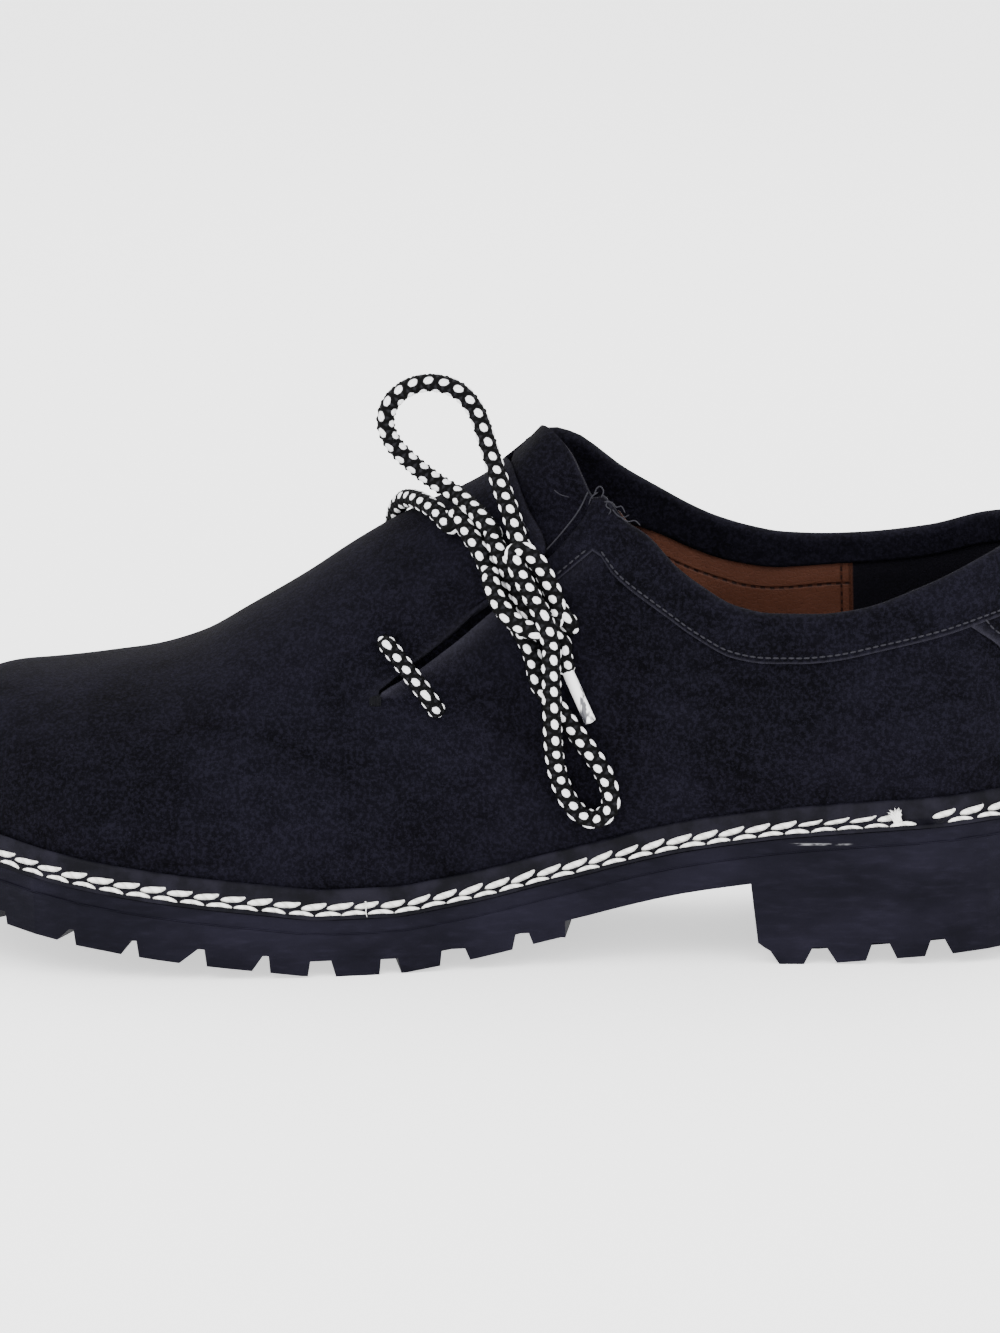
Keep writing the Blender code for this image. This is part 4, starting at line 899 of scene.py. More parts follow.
def slackness(u, angle, spot):
    """How far the suede stands off the last, in metres."""
    wide = noise.noise(spot * 34.0) * 0.00028 + noise.noise(spot * 90.0) * 0.00010
    fade = smooth_step(spot.z, 0.030, 0.045) * (1 - smooth_step(u, 0.93, 1.0)) * smooth_step(u, 0.0, 0.05)
    lift = wide * fade
    for hole in hole_spots:
        lift -= 0.0016 * math.exp(-((spot - hole).length / 0.0026) ** 2)
    if angle < math.pi / 2:
        near = min((spot - p).length for p in slit_middle)
        if near < 0.012:
            upper_lip = turn_at_height(u, QUARTER_TOP(u) * COLLAR_HEIGHT) < angle
            lift += (0.0007 if upper_lip else -0.0003) * math.exp(-(near / 0.005) ** 2)
    return lift


QUARTER_TOP = SmoothTable(QUARTER_EDGE, 1)
bm = bmesh.new()
edge_wear_and_highlight = bm.verts.layers.float.new("edge_wear_and_highlight")
laid_panels(bm, slackness, EDGE_DROP, wear_and_highlight=edge_wear_and_highlight)
upper = finish_piece(bm, "suede_upper", [suede])
thicken(upper, 0.0014)
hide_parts("upper")

# %% [markdown]
# ## Collar band
# The collar is bound with a strip of the same suede: it starts at the seam outside, rolls over the edge and
# comes down inside, where it shows as a dark band above the leather lining. Along the slit it becomes the
# facing. One grid makes it all: its columns go round the shoe, and its rows go up the outside, over the
# edge in half a circle and down the inside.

# %% Collar band
# u and height of the strip's lower edge outside
BAND_SEAM = (
    (0.0, 0.835), (0.050, 0.805), (0.099, 0.767), (0.147, 0.736), (0.190, 0.712), (0.215, 0.7065),
    (0.243, 0.7065), (0.2715, 0.718), (0.3017, 0.760), (0.330, 0.816), (0.374, 0.909), (0.3905, 0.962),
    (0.394, 0.955), (0.427, 0.883), (0.462, 0.810),
)
BAND_LIFT = 0.0008
# u, how far the band comes down inside, in mm
BAND_DOWN_ROWS = ((0.0, 6.0), (0.18, 5.6), (0.27, 8.0), (0.345, 10.0), (0.40, 13.0), (0.45, 13.0))
BAND_ROUND = 0.0019
BAND_INSIDE = 0.0030
FACING_END = 0.455
MEDIAL_END = 0.452
band_low = SmoothTable(BAND_SEAM, 1)
band_down = SmoothTable(BAND_DOWN_ROWS, 1)


def band_edges(side, u):
    """Lower and upper height of the band at a place along the shoe."""
    if side == MEDIAL:
        top = collar_height(u, MEDIAL)
        return top - 0.0145 * (1 - 0.8 * smooth_step(u, 0.37, MEDIAL_END)), top
    top = collar_height(u, LATERAL) if u < QUARTER_EDGE[0][0] else QUARTER_TOP(u) * COLLAR_HEIGHT
    return min(band_low(u) * COLLAR_HEIGHT, top - 0.005), top


def band_spot(side, u, row, rows):
    low, top = band_edges(side, u)
    crown = top - BAND_ROUND
    share = row / rows
    middle = (BAND_LIFT - BAND_INSIDE) / 2
    half = (BAND_LIFT + BAND_INSIDE) / 2
    if share < 0.5:
        return low + (crown - low) * share / 0.5, BAND_LIFT
    if share < 0.75:
        turned = math.pi * (share - 0.5) / 0.25
        return crown + BAND_ROUND * math.sin(turned), middle + half * math.cos(turned)
    down = (share - 0.75) / 0.25
    deep = min(band_down(u) / 1000, crown - low) if side == LATERAL else band_down(u) / 1000
    return crown - deep * down, -BAND_INSIDE


def band_columns():
    """Side and u of every column, from the facing's end round the heel to the throat."""
    outer = [1 - math.cos(math.pi / 2 * i / 90) for i in range(91)]
    found = [(LATERAL, FACING_END * share) for share in reversed(outer)]
    inner = [1 - math.cos(math.pi / 2 * i / 80) for i in range(1, 81)]
    return found + [(MEDIAL, MEDIAL_END * share) for share in inner]


columns, rows = band_columns(), 32
bm = bmesh.new()
edge_wear_and_highlight = bm.verts.layers.float.new("edge_wear_and_highlight")
bmesh.ops.create_grid(bm, x_segments=len(columns) - 1, y_segments=rows, size=0.5)
for vert in bm.verts:
    side, u = columns[round((vert.co.x + 0.5) * (len(columns) - 1))]
    row = round((vert.co.y + 0.5) * rows)
    z, lift = band_spot(side, u, row, rows)
    slack = noise.noise(Vector((u * 26.0, side * 3.0, row * 0.12))) * 0.00022
    vert.co = on_side(u, z, side, lift + slack)
    # Pales the band's lower edge and, less, the crown of its roll: partly worn, partly painted highlight.
    vert[edge_wear_and_highlight] = (0.9 if row == 0 else 0.0) + 0.14 * math.exp(-((row - rows * 0.62) / 3.0) ** 2)
turn_outwards(bm, (0, -1, 0))
band = finish_piece(bm, "collar_band", [suede])
thicken(band, 0.0007)

# %% [markdown]
# ## Backstay
# A narrow strip of suede covers the seam at the back of the heel. It is laid over the same surface, widest
# under the collar band and narrowing downwards.

# %% Backstay
STRIP_LOW, STRIP_HIGH = 0.0415, 0.0905
# height share, u of the strip's front edge
STRIP_ROWS = ((0.800, 0.078), (0.735, 0.050), (0.650, 0.034), (0.520, 0.026), (0.370, 0.022))
BACKSTAY_EDGE = SmoothTable(STRIP_ROWS, 1)
bm = bmesh.new()
edge_wear_and_highlight = bm.verts.layers.float.new("edge_wear_and_highlight")
bmesh.ops.create_grid(bm, x_segments=44, y_segments=40, size=0.5)
for vert in bm.verts:
    a, share = vert.co.x * 2, vert.co.y + 0.5
    z = STRIP_LOW + (STRIP_HIGH - STRIP_LOW) * share
    u = BACKSTAY_EDGE(z / COLLAR_HEIGHT) * a * a
    side = LATERAL if a < 0 else MEDIAL
    vert.co = on_side(u, z, side, 0.0007)
    # Pales the strip's two edges: partly worn, partly painted highlight.
    vert[edge_wear_and_highlight] = math.exp(-(1 - abs(a)) * 22 / 0.8)
turn_outwards(bm, (1, 0, 0))
backstay = finish_piece(bm, "backstay", [suede])
thicken(backstay, 0.0008)

# %% [markdown]
# ## Lining
# Inside, the forepart and the quarters are lined with brown leather, cut in two strips that are sewn
# together below the collar band, and the heel with a darker, napped leather that doesn't let the foot slip.
# The lining is the same four panels again, laid inside the suede. Its seams are drawn from two numbers that
# are stored on the mesh: the place along the shoe and the distance below the collar. A third number marks the
# lining along the slit, which is painted in the heel's dark colour as painted shade inside the slit.

# %% Lining finish
lining = Finish("lining_leather", roughness=0.55, Specular_IOR_Level=0.10)
along_shoe, below = lining.trait("along_shoe"), lining.trait("below_collar")
place = lining.place()
grain = lining.cells(900.0, place)
cloud = lining.speckle(60.0, 3.0, 0.6, place)
brown = lining.blend((0.041, 0.0145, 0.0085), (0.090, 0.034, 0.021), cloud)
heel_part = along_shoe.rise(92.6, 93.4)
nap = lining.speckle(1500.0, 2.0, 0.7, place)
heel_colour = lining.blend((0.0006, 0.0005, 0.0012), (0.0034, 0.0029, 0.0060), nap)
seam_depth = 13.2 + along_shoe.rise(90.0, 62.0) * 3.0 + along_shoe.rise(62.0, 44.0) * 1.5
strip_seam = (below - seam_depth).size().rise(0.55, 0.15) * along_shoe.rise(92.6, 92.0)
strip_stitch = ((along_shoe * (2 * math.pi / 2.4)).sine().rise(-0.2, 0.2)) * strip_seam
pair_seam = ((along_shoe - 90.2).size().rise(0.45, 0.12)).most((along_shoe - 92.4).size().rise(0.5, 0.15))
pair_stitch = (below * (2 * math.pi / 2.2)).sine().rise(-0.2, 0.2)
pair_stitch = pair_stitch * (along_shoe - 90.2).size().rise(0.35, 0.1)
shaded = lining.blend(brown, (0.030, 0.010, 0.006), strip_seam.most(pair_seam) * 0.75)
shaded = lining.blend(shaded, (0.012, 0.005, 0.004), strip_stitch.most(pair_stitch))
# The heel's own dark lining, and along the slit the same dark colour as painted shade.
dark_heel_and_slit_shade = heel_part.most(lining.trait("slit_painted_shade"))
lining.colour(lining.blend(shaded, heel_colour, dark_heel_and_slit_shade))
lining.gloss(0.50 + dark_heel_and_slit_shade * 0.42)
lining.relief(grain.rise(0.0, 0.12) * 0.25 + (1 - strip_seam.most(pair_seam)) * 0.75, 0.00035, 0.8)

# %% Lining shell
bm = bmesh.new()
laid_panels(bm, -0.00155, 0.0042, density=0.42)
along_layer = bm.verts.layers.float.new("along_shoe")
below_layer = bm.verts.layers.float.new("below_collar")
slit_shade_layer = bm.verts.layers.float.new("slit_painted_shade")
for vert in bm.verts:
    side = LATERAL if vert.co.y < SIDE_SHIFT else MEDIAL
    vert[along_layer] = vert.co.x * 1000
    u = min(1.0, max(0.0, u_at(vert.co.x)))
    vert[below_layer] = (collar_height(min(THROAT, u), side) - vert.co.z) * 1000
    # Marks the lining by the slit, which is painted dark as painted shade.
    near_slit = smooth_step(u, 0.355, 0.375) * (1 - smooth_step(u, 0.60, 0.64))
    vert[slit_shade_layer] = near_slit * smooth_step(vert.co.z, 0.045, 0.055)
lining_shell = finish_piece(bm, "lining", [lining])
thicken(lining_shell, 0.0007)

# %% [markdown]
# ## Tongue
# The tongue lies under flap and quarter and rises level with them where neither covers it. It is a sheet
# with one free edge, cut from the same suede, with a soft fold where it turns under the quarter.

# %% Tongue
# degrees round the arch, u of the free edge, u from where it is covered
TONGUE_ROWS = (
    (31, 0.425, 0.380), (42, 0.400, 0.380), (50, 0.393, 0.400), (57, 0.401, 0.446), (66, 0.410, 0.466),
    (76, 0.424, 0.476), (85, 0.434, 0.480), (94, 0.441, 0.480), (105, 0.452, 0.470),
)
TONGUE_SWEEP = (31, 105)
tongue_top, tongue_cover = SmoothTable(TONGUE_ROWS, 1), SmoothTable(TONGUE_ROWS, 2)
bm = bmesh.new()
edge_wear_and_highlight = bm.verts.layers.float.new("edge_wear_and_highlight")
bmesh.ops.create_grid(bm, x_segments=90, y_segments=60, size=0.5)
for vert in bm.verts:
    degrees = TONGUE_SWEEP[0] + (TONGUE_SWEEP[1] - TONGUE_SWEEP[0]) * (vert.co.x + 0.5)
    share = vert.co.y + 0.5
    top = tongue_top(degrees)
    u = top + (0.620 - top) * share ** 1.4
    cover = tongue_cover(degrees)
    free = 1 - smooth_step(u, cover - 0.018, cover - 0.003)
    free *= smooth_step(degrees, 52, 66) * (1 - smooth_step(degrees, 97, 108))
    lift = -GAP - (WALL + 0.0010 - GAP) * (1 - free)
    angle = math.radians(degrees)
    vert.co = arch_point(u, angle) + arch_normal(u, angle) * lift
    # Pales the tongue's free top edge: partly worn, partly painted highlight.
    vert[edge_wear_and_highlight] = math.exp(-share * 60 / 1.5) * 0.3
turn_outwards(bm, (0, 0, 1))
tongue = finish_piece(bm, "tongue_leather", [suede])
thicken(tongue, 0.0018)
rounding = tongue.modifiers.new("soft_edge", "BEVEL")
rounding.width = 0.0005
rounding.segments = 2
rounding.limit_method = "ANGLE"
rounding.angle_limit = math.radians(50)
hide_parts("tongue")

# %% [markdown]
# ## Insole
# The insole is a leather sheet with a slightly cupped edge. It is one grid laid on the seat of the sole
# inside the lining.

# %% Insole
footbed = Finish("footbed_leather", roughness=0.55, Specular_IOR_Level=0.15)
place = footbed.place()
pores = footbed.cells(700.0, place)
worn = footbed.speckle(26.0, 3.0, 0.6, place)
footbed.colour(footbed.blend((0.048, 0.020, 0.010), (0.105, 0.049, 0.026), worn))
footbed.gloss(0.48 + worn * 0.2)
footbed.relief(pores.rise(0.0, 0.15), 0.00025, 0.7)

bm = bmesh.new()
bmesh.ops.create_grid(bm, x_segments=120, y_segments=30, size=0.5)
for vert in bm.verts:
    a, b = vert.co.x + 0.5, vert.co.y * 2
    u = 0.5 - 0.5 * math.cos(math.pi * (0.006 + 0.988 * a))
    inset = 1 - 0.0034 / max(0.004, abs(outline_y(u, MEDIAL) - outline_y(u, LATERAL)) / 2)
    outer_y, inner_y = outline_y(u, LATERAL) + SIDE_SHIFT, outline_y(u, MEDIAL) + SIDE_SHIFT
    x = (FEATHER_LENGTH / 2 - u * FEATHER_LENGTH) * (1 - 0.0034 / (FEATHER_LENGTH / 2))
    y = (outer_y + inner_y) / 2 + (inner_y - outer_y) / 2 * b * max(0.05, inset)
    vert.co = (x, y, seat_height(x) + GAP + 0.0027 + 0.0012 * abs(b) ** 6)
turn_outwards(bm, (0, 0, 1))
insole = finish_piece(bm, "footbed", [footbed])
thicken(insole, 0.0024)
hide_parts("insole")

# %% [markdown]
# ## Welt
# The storm welt is a strip with an upright lip. It is swept round the feather line: one side of a grid goes
# round the shoe, the other follows the strip's section.

# %% Welt strip
# reach outwards, height over the midsole
WELT_SECTION = (
    (0.0055, 0.0), (0.0055, 0.0004), (0.0052, 0.0008), (0.0046, 0.0009), (0.0040, 0.0011), (0.0034, 0.0016),
    (0.0029, 0.0018), (0.0025, 0.0024), (0.0023, 0.0032), (0.0022, 0.0044), (0.0020, 0.0058),
    (0.0017, 0.0065), (0.0011, 0.0067), (0.0007, 0.0062), (0.0006, 0.0030), (0.0006, 0.0),
)


def ring_point(share):
    """The feather line as one closed curve: heel 0, outer side, toe 0.5, inner side."""
    share = share % 1.0
    side = LATERAL if share < 0.5 else MEDIAL
    half = share * 2 if share < 0.5 else 2 - share * 2
    return feather_point(0.5 - 0.5 * math.cos(math.pi * half), side)


def ring_frame(share):
    """A point of the feather line, the direction along it and the outward direction, in plan."""
    ahead = (ring_point(share + 0.0015) - ring_point(share - 0.0015)).normalized()
    return ring_point(share), ahead, Vector((-ahead.y, ahead.x))


def even_shares(step):
    """Shares of the closed feather line that are a step apart, in metres, and its whole length."""
    fine = [ring_point(i / 3000) for i in range(3001)]
    lengths = [0.0]
    for a, b in zip(fine, fine[1:]):
        lengths.append(lengths[-1] + (b - a).length)
    count = round(lengths[-1] / step)
    found, k = [], 0
    for i in range(count):
        at = lengths[-1] * i / count
        while lengths[k + 1] < at:
            k += 1
        found.append((k + (at - lengths[k]) / (lengths[k + 1] - lengths[k])) / 3000)
    return found, lengths[-1]


def welt_spot(share, reach, height):
    point, _, outward = ring_frame(share)
    spot = point + outward * reach
    return Vector((spot.x, spot.y, seat_height(spot.x) + GAP + height))


def swept_ring(section, step, drop=0.0):
    """A closed ring: a section carried round the feather line, and the line's length."""
    shares, length = even_shares(step)
    rows = len(section) - 1
    bm = bmesh.new()
    bmesh.ops.create_grid(bm, x_segments=len(shares), y_segments=rows, size=0.5)
    for vert in bm.verts:
        i = round((vert.co.x + 0.5) * len(shares)) % len(shares)
        reach, height = section[round((vert.co.y + 0.5) * rows)]
        vert.co = welt_spot(shares[i], reach, height - drop)
    bmesh.ops.remove_doubles(bm, verts=bm.verts, dist=1e-6)
    bmesh.ops.bridge_loops(bm, edges=[e for e in bm.edges if e.is_boundary])
    bmesh.ops.recalc_face_normals(bm, faces=bm.faces)
    return bm, length


bm, round_length = swept_ring(WELT_SECTION, 0.0018)
welt_leather = Finish("welt_leather", roughness=0.45, Specular_IOR_Level=0.06)
place = welt_leather.place()
rubbed = welt_leather.speckle(120.0, 4.0, 0.6, place)
fine = welt_leather.speckle(1600.0, 2.0, 0.6, place)
welt_tone = rubbed.rise(0.35, 0.7)
welt_leather.colour(welt_leather.blend((0.0018, 0.0017, 0.0034), (0.0080, 0.0073, 0.0125), welt_tone))
welt_leather.gloss(0.38 + rubbed * 0.3)
welt_leather.relief(fine * 0.6 + rubbed * 0.4, 0.00025, 0.6)
welt = finish_piece(bm, "storm_welt", [welt_leather], sharp=60)
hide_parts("welt")
print("welt is", round(round_length * 1000), "mm round")

# %% [markdown]
# ## Welt stitches
# Two rows of thick waxed thread hold the welt: an upper row of fat stitches that flick up at their heelward
# end, and a lower row of thinner, arched ones, set half a stitch further. Each stitch is a small sphere
# that is stretched and bent, then copied along the welt. A few dozen faces are enough for one.

# %% Thread finish
thread = Finish("off_white_thread", roughness=0.7, Sheen_Weight=0.2)
turns, lengthwise, _ = thread.axes(thread.node("UVMap", {"uv_map": "pattern"}))
ply = ((lengthwise * 15.0 + turns * (4 * math.pi)).sine()) * 0.5 + 0.5
fuzz = thread.speckle(1900.0, 3.0, 0.7)
# Darker in the grooves between the plies: painted shade.
thread.colour(thread.blend(thread.blend((0.60, 0.59, 0.55), (0.90, 0.89, 0.87), ply.rise(0.0, 0.45)),
                           (0.94, 0.94, 0.93), fuzz.rise(0.45, 0.7) * 0.6))
thread.relief(ply * 0.6 + fuzz * 0.4, 0.00030, 0.8)


def bent_stitch(bm, matrix, half_length, half_height, half_depth, bend):
    """Adds one stitch: x lies along the seam, y up the welt, z out of it."""
    made = bmesh.ops.create_uvsphere(bm, u_segments=10, v_segments=7, radius=1.0)["verts"]
    layer = bm.loops.layers.uv["pattern"]
    for face in {f for v in made for f in v.link_faces}:
        for loop in face.loops:
            c = loop.vert.co
            loop[layer].uv = (math.atan2(c.y, c.x) / (2 * math.pi), c.z * 0.5)
    for vert in made:
        x, y, z = vert.co.z, vert.co.y, vert.co.x
        full = max(0.0, 1 - abs(x) ** 2.6) ** 0.5 if abs(x) < 1 else 0.0
        slim = math.hypot(y, z)
        if slim > 1e-6:
            y, z = y / slim * full, z / slim * full
        vert.co = matrix @ Vector((x * half_length, y * half_height + bend(x), z * half_depth))


# %% The two rows
STITCH_PITCH = 0.0065
random.seed(7)
shares, _ = even_shares(STITCH_PITCH)
TUFT_X = 0.1045


def welt_frame(share, reach, height, slope):
    """A frame on the welt: x towards the heel, z out of the strip at a slope from level, y up it."""
    _, _, outward = ring_frame(share)
    near, far = welt_spot(share - 0.002, reach, height), welt_spot(share + 0.002, reach, height)
    heelward = (far - near).normalized()
    if heelward.x < 0 and abs(heelward.x) > 0.05 or abs(heelward.x) <= 0.05 and heelward.y * outward.x < 0:
        heelward = -heelward
    out = Vector((outward.x * math.cos(slope), outward.y * math.cos(slope), math.sin(slope)))
    out = (out - heelward * out.dot(heelward)).normalized()
    up = out.cross(heelward)
    if up.z < 0:
        up = -up
    return frame_at(welt_spot(share, reach, height), heelward, up, out)


def share_at(x):
    """Where on the outer side's feather line a place along the shoe lies."""
    return min((i / 2000 for i in range(1000)), key=lambda share: abs(ring_point(share).x - x))


def upper_bend(x):
    return -0.00005 + 0.00030 * x + 0.00070 * max(0.0, x) ** 3 - 0.00018 * max(0.0, -x) ** 2


def lower_bend(x):
    return 0.00026 - 0.00062 * x * x


for name, offset, reach, height, slope, size, bend in (
    ("welt_stitch_upper", 0.0, 0.00262, 0.00255, 0.62, (0.00324, 0.00080, 0.00080), upper_bend),
    ("welt_stitch_lower", 0.5, 0.00455, 0.00115, 1.05, (0.00314, 0.00056, 0.00062), lower_bend),
):
    bm = bmesh.new()
    bm.loops.layers.uv.new("pattern")
    for i, share in enumerate(shares):
        following = shares[(i + 1) % len(shares)] + (1.0 if i + 1 == len(shares) else 0.0)
        at = share + (following - share) * offset
        spot = welt_spot(at, reach, height)
        near_tuft = spot.y < 0 and abs(spot.x - (TUFT_X + 0.009)) < 0.0042
        if near_tuft:
            continue
        thin = 0.62 if spot.y < 0 and 0.083 < spot.x < 0.102 else 1.0
        jitter = random.uniform(0.94, 1.06)
        lean = Matrix.Rotation(random.uniform(-0.05, 0.05), 4, "Z")
        matrix = welt_frame(at, reach, height, slope) @ lean
        bent_stitch(bm, matrix, size[0] * jitter, size[1] * thin * random.uniform(0.92, 1.08), size[2], bend)
    finish_piece(bm, name, [thread])

# %% [markdown]
# ## Loose ends of the thread
# Where the welt seam starts and ends at the outer side of the heel, a frayed tuft of the thread sticks out.
# A little way behind the ball a single ply stands across the stitches. Both are bundles of thin tapered
# tubes.

# %% Tuft and loose ply
def thin_strand(bm, points, width, sides=6, taper=0.25):
    """Adds a tapering strand: a sheet rolled round a smooth path."""
    path, length = smooth_path(points, max(width, 0.0002))
    frames = frames_along(path)
    made = bmesh.ops.create_grid(bm, x_segments=len(path) - 1, y_segments=sides, size=0.5)["verts"]
    count = len(path) - 1
    for vert in made:
        i = round((vert.co.x + 0.5) * count)
        turned = 2 * math.pi * (vert.co.y + 0.5)
        share = i / count
        radius = width / 2 * (1 - (1 - taper) * share) * rounded_end(min(share, 1 - share), 0.04)
        vert.co = path[i] + (frames[i][0] * math.cos(turned) + frames[i][1] * math.sin(turned)) * radius
    bmesh.ops.remove_doubles(bm, verts=made, dist=2e-6)


PLY_X = -0.0252
tuft_frame = welt_frame(share_at(TUFT_X + 0.002), 0.0034, 0.0016, 0.8)
bm = bmesh.new()
bm.loops.layers.uv.new("pattern")
random.seed(11)
for i in range(34):
    fan = -1.25 + 1.75 * i / 33
    reach = 0.0028 * random.uniform(0.75, 1.1)
    tip = Vector((math.sin(fan) * reach * 0.9, math.cos(fan) * reach, 0.0012 + random.uniform(0.0, 0.0012)))
    foot = Vector((random.uniform(-0.0006, 0.0011), random.uniform(-0.0012, 0.0004), 0.0002))
    middle = (foot + tip) / 2 + Vector((0, 0, 0.0008))
    thin_strand(bm, [tuft_frame @ foot, tuft_frame @ middle, tuft_frame @ tip], 0.00055, sides=5)
ply_frame = welt_frame(share_at(PLY_X), 0.0036, 0.0016, 0.8)
PLY_SPOTS = (
    (0, 0.0024, 0.0004), (0.0002, 0.0008, 0.0014), (-0.0001, -0.0010, 0.0014), (0.0001, -0.0026, 0.0008),
)
thin_strand(bm, [ply_frame @ Vector(p) for p in PLY_SPOTS], 0.00042)
bmesh.ops.recalc_face_normals(bm, faces=bm.faces)
finish_piece(bm, "thread_ends", [thread], merge=0)

# %% [markdown]
# ## Seams of the upper
# The upper is sewn with fine dark thread: a row beside the band's lower edge, a row along the facing and
# the slit, rows on the backstay and a close bar of stitches where the slit ends. Each stitch is a small
# stretched sphere again, pressed into the suede.

# %% Fine stitches
def dark_thread(name, roughness, specular, noise_values, dark, light):
    """A dark thread's finish. noise_values are its noise's scale, detail and roughness."""
    made = Finish(name, roughness=roughness, Specular_IOR_Level=specular)
    yarn = made.speckle(*noise_values)
    made.colour(made.blend(dark, light, yarn))
    made.relief(yarn, 0.0002, 0.6)
    return made


seam_thread = dark_thread(
    "seam_thread", 0.65, 0.1, (2200.0, 2.0, 0.6), (0.004, 0.004, 0.006), (0.030, 0.029, 0.037))
bar_thread = dark_thread(
    "bar_thread", 0.8, 0.06, (2400.0, 2.0, 0.6), (0.0010, 0.0010, 0.0014), (0.0080, 0.0080, 0.0100))
fray_thread = dark_thread(
    "frayed_thread", 0.8, 0.08, (1800.0, 3.0, 0.7), (0.005, 0.005, 0.007), (0.036, 0.035, 0.043))


def sewn_row(bm, spots, pitch=0.0019, length=0.00078, width=0.00026):
    """Adds stitches along a row of (point, normal) pairs."""
    path, _ = smooth_path([p for p, _ in spots], pitch)
    normals = [n for _, n in spots]
    for i in range(1, len(path) - 1):
        along_row = (path[i + 1] - path[i - 1]).normalized()
        at = i / (len(path) - 1) * (len(normals) - 1)
        k = min(int(at), len(normals) - 2)
        out = normals[k].lerp(normals[k + 1], at - k)
        out = (out - along_row * out.dot(along_row)).normalized()
        matrix = frame_at(path[i], along_row, out.cross(along_row), out)
        bent_stitch(bm, matrix, length, width, width, lambda x: 0.0)


def seam_spot(u, z, side, lift):
    turned = turn_at_height(u, z)
    angle = turned if side == LATERAL else math.pi - turned
    normal = arch_normal(u, angle)
    return arch_point(u, angle) + normal * lift, normal


bm = bmesh.new()
bm.loops.layers.uv.new("pattern")
outer_row = [seam_spot(u, band_low(u) * COLLAR_HEIGHT + 0.0014, LATERAL, 0.0009)
             for u in [0.386 * (1 - math.cos(math.pi / 2 * i / 40)) for i in range(40, -1, -1)]]
inner_row = [seam_spot(u, band_edges(MEDIAL, u)[0] + 0.0017, MEDIAL, 0.0009)
             for u in [0.44 * (1 - math.cos(math.pi / 2 * i / 40)) for i in range(1, 41)]]
sewn_row(bm, outer_row + inner_row)
facing_row = [seam_spot(u, band_low(u) * COLLAR_HEIGHT + 0.0013, LATERAL, 0.0009)
              for u in [0.394 + (0.452 - 0.394) * i / 8 for i in range(9)]]
sewn_row(bm, facing_row)
for side in (LATERAL, MEDIAL):
    strip = []
    for i in range(14):
        z = 0.044 + (0.086 - 0.044) * i / 13
        strip.append(seam_spot(BACKSTAY_EDGE(z / COLLAR_HEIGHT) * 0.80, z, side, 0.0008))
    sewn_row(bm, strip)
flap_row = []
for i in range(18):
    turned = math.radians(54 + (86 - 54) * i / 17)
    u = FLAP_LINE(turned) + 0.0075
    flap_row.append((arch_point(u, turned) + arch_normal(u, turned) * 0.0001, arch_normal(u, turned)))
sewn_row(bm, flap_row)
bar_out = arch_normal(0.578, SPLIT_TURN)
bar_along = (arch_point(0.575, SPLIT_TURN + 0.05) - arch_point(0.575, SPLIT_TURN - 0.05)).normalized()
bar_cross = bar_out.cross(bar_along)
finish_piece(bm, "fine_stitches", [seam_thread])

bm = bmesh.new()
bm.loops.layers.uv.new("pattern")
for i in range(8):
    centre = arch_point(0.5765, SPLIT_TURN) + bar_cross * ((i - 3.5) * 0.00036) + bar_out * 0.0001
    matrix = frame_at(centre, bar_along, -bar_cross, bar_out)
    bent_stitch(bm, matrix, 0.0017, 0.00022, 0.00026, lambda x: 0.0)
finish_piece(bm, "slit_bar", [bar_thread])

# %% Frayed threads at the quarter's corner
bm = bmesh.new()
bm.loops.layers.uv.new("pattern")
random.seed(5)
FRAY_SPOTS = (
    ((596, 497), (599, 490), (603, 488), (606, 493), (603, 499)),
    ((604, 496), (609, 500), (608, 507), (613, 511), (610, 516)),
    ((606, 503), (613, 503), (618, 508), (623, 507), (627, 514)),
    ((614, 510), (619, 516), (625, 518), (631, 515)),
    ((622, 517), (629, 522), (636, 521), (642, 526)),
    ((600, 493), (594, 498), (590, 506)),
)
for spots in FRAY_SPOTS:
    placed = [seen_at(px, py, 0.0013 + random.uniform(-0.0003, 0.0003)) for px, py in spots]
    thin_strand(bm, placed, 0.00040, taper=0.7)
crease = [seen_at(554, 490, 0.0002), seen_at(561, 495, 0.0004), seen_at(570, 497.5, 0.0002)]
thin_strand(bm, crease, 0.00034, taper=0.6)
edge_cord = []
for i in range(15):
    share = i / 14
    height = 1.085 + (0.952 - 1.085) * share
    u = QUARTER_LINE(height) + 0.0052
    edge_cord.append(on_side(u, height * COLLAR_HEIGHT + 0.0006, LATERAL, 0.0003))
thin_strand(bm, edge_cord, 0.00042, taper=0.9)
bmesh.ops.recalc_face_normals(bm, faces=bm.faces)
finish_piece(bm, "frayed_threads", [fray_thread], merge=0)

# %% [markdown]
# ## Rubber
# The sole's CAD solids are already the right shape, and rubber is rigid enough to keep them. They get a
# satin black that is a little paler than the suede, with mould marks, dust in patches and a faint parting
# line along the side.

# %% Rubber finish on the sole's nodes
rubber = Finish("sole_rubber", roughness=0.6, Specular_IOR_Level=0.04)
place = rubber.place()
along_sole, _, height = rubber.axes(place)
dust = rubber.speckle(30.0, 4.0, 0.6, rubber.stretched(place, 1.0, 1.0, 2.2))
marks = rubber.speckle(420.0, 4.0, 0.65, rubber.stretched(place, 0.30, 1.0, 1.6))
pebble = rubber.speckle(2600.0, 2.0, 0.6, place)
tone = dust.rise(0.30, 0.72) * 0.6 + marks.rise(0.45, 0.80) * 0.4
scuff = (height - 0.0304).size().rise(0.0004, 0.0001) * (along_sole - 0.0873).size().rise(0.0085, 0.0055)
scuff = scuff * rubber.speckle(900.0, 3.0, 0.6, rubber.stretched(place, 0.3, 1.0, 2.0)).rise(0.40, 0.60)
aged = rubber.blend((0.0026, 0.0024, 0.0050), (0.0100, 0.0090, 0.0165), tone)
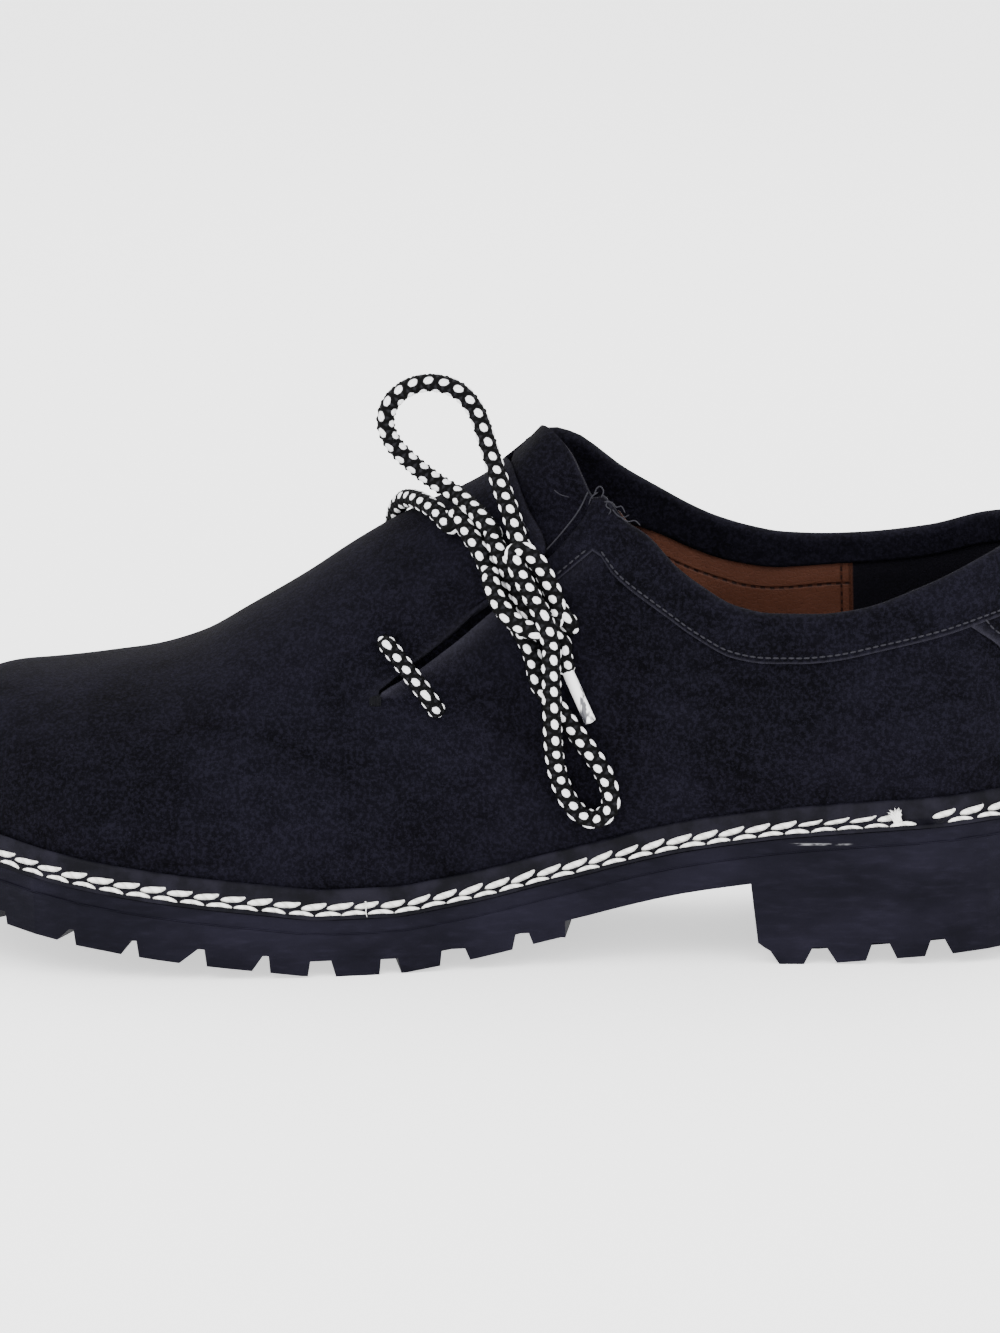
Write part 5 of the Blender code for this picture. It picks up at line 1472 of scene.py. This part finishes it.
rubber.colour(rubber.blend(aged, (0.17, 0.17, 0.18), scuff))
rubber.gloss(0.42 + dust * 0.22)
rubber.relief(marks * 0.5 + pebble * 0.5, 0.00022, 0.6)
for node in ("outsole", "midsole"):
    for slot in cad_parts[node].material_slots:
        slot.material = rubber.material

# reach outwards, height from the midsole's top
PARTING = ((0.0010, -0.0038), (0.0050, -0.0038), (0.00525, -0.0036), (0.0050, -0.0033), (0.0010, -0.0033))
bm, _ = swept_ring(PARTING, 0.0024, drop=GAP)
finish_piece(bm, "parting_line", [rubber])

# %% [markdown]
# ## Studio
# The photograph was cut out on white: no wall or floor can be seen. A pale floor and a bright, even sky
# give the same, with one broad soft light from the upper left, a weaker one from the right and a low one
# from the front, so that the nap and the threads still show their shape.

# %% Floor, world and lights
floor_finish = Finish("pale_floor", roughness=0.9, Emission_Strength=1.0)
floor_finish.shader.inputs["Emission Color"].default_value = (1.0, 1.0, 1.0, 1.0)
floor_finish.shader.inputs["Base Color"].default_value = (0.90, 0.90, 0.90, 1.0)
bm = bmesh.new()
bmesh.ops.create_grid(bm, x_segments=1, y_segments=1, size=6.0)
floor_mesh = bpy.data.meshes.new("floor")
bm.to_mesh(floor_mesh)
bm.free()
floor = bpy.data.objects.new("floor", floor_mesh)
floor_mesh.materials.append(floor_finish.material)
bpy.context.scene.collection.objects.link(floor)

world = bpy.data.worlds.new("studio_sky")
world.use_nodes = True
world.node_tree.nodes["Background"].inputs["Color"].default_value = (1.0, 1.0, 1.0, 1.0)
world.node_tree.nodes["Background"].inputs["Strength"].default_value = 2.4
bpy.context.scene.world = world

# name, place, size in metres, watts
for name, spot, size, watts in (
    ("key", (-0.7, -1.2, 1.5), 0.9, 16.0),
    ("fill", (1.1, -1.0, 0.7), 1.0, 7.0),
    ("front", (0.0, -1.6, 0.25), 0.8, 4.0),
    ("back", (0.2, 1.1, 1.2), 0.9, 8.0),
):
    light_data = bpy.data.lights.new(name, "AREA")
    light_data.energy = watts
    light_data.size = size
    light = bpy.data.objects.new(name, light_data)
    bpy.context.scene.collection.objects.link(light)
    aim = Vector((0.0, 0.0, 0.05)) - Vector(spot)
    light.matrix_world = Matrix.Translation(spot) @ aim.to_track_quat("-Z", "Y").to_matrix().to_4x4()

# %% [markdown]
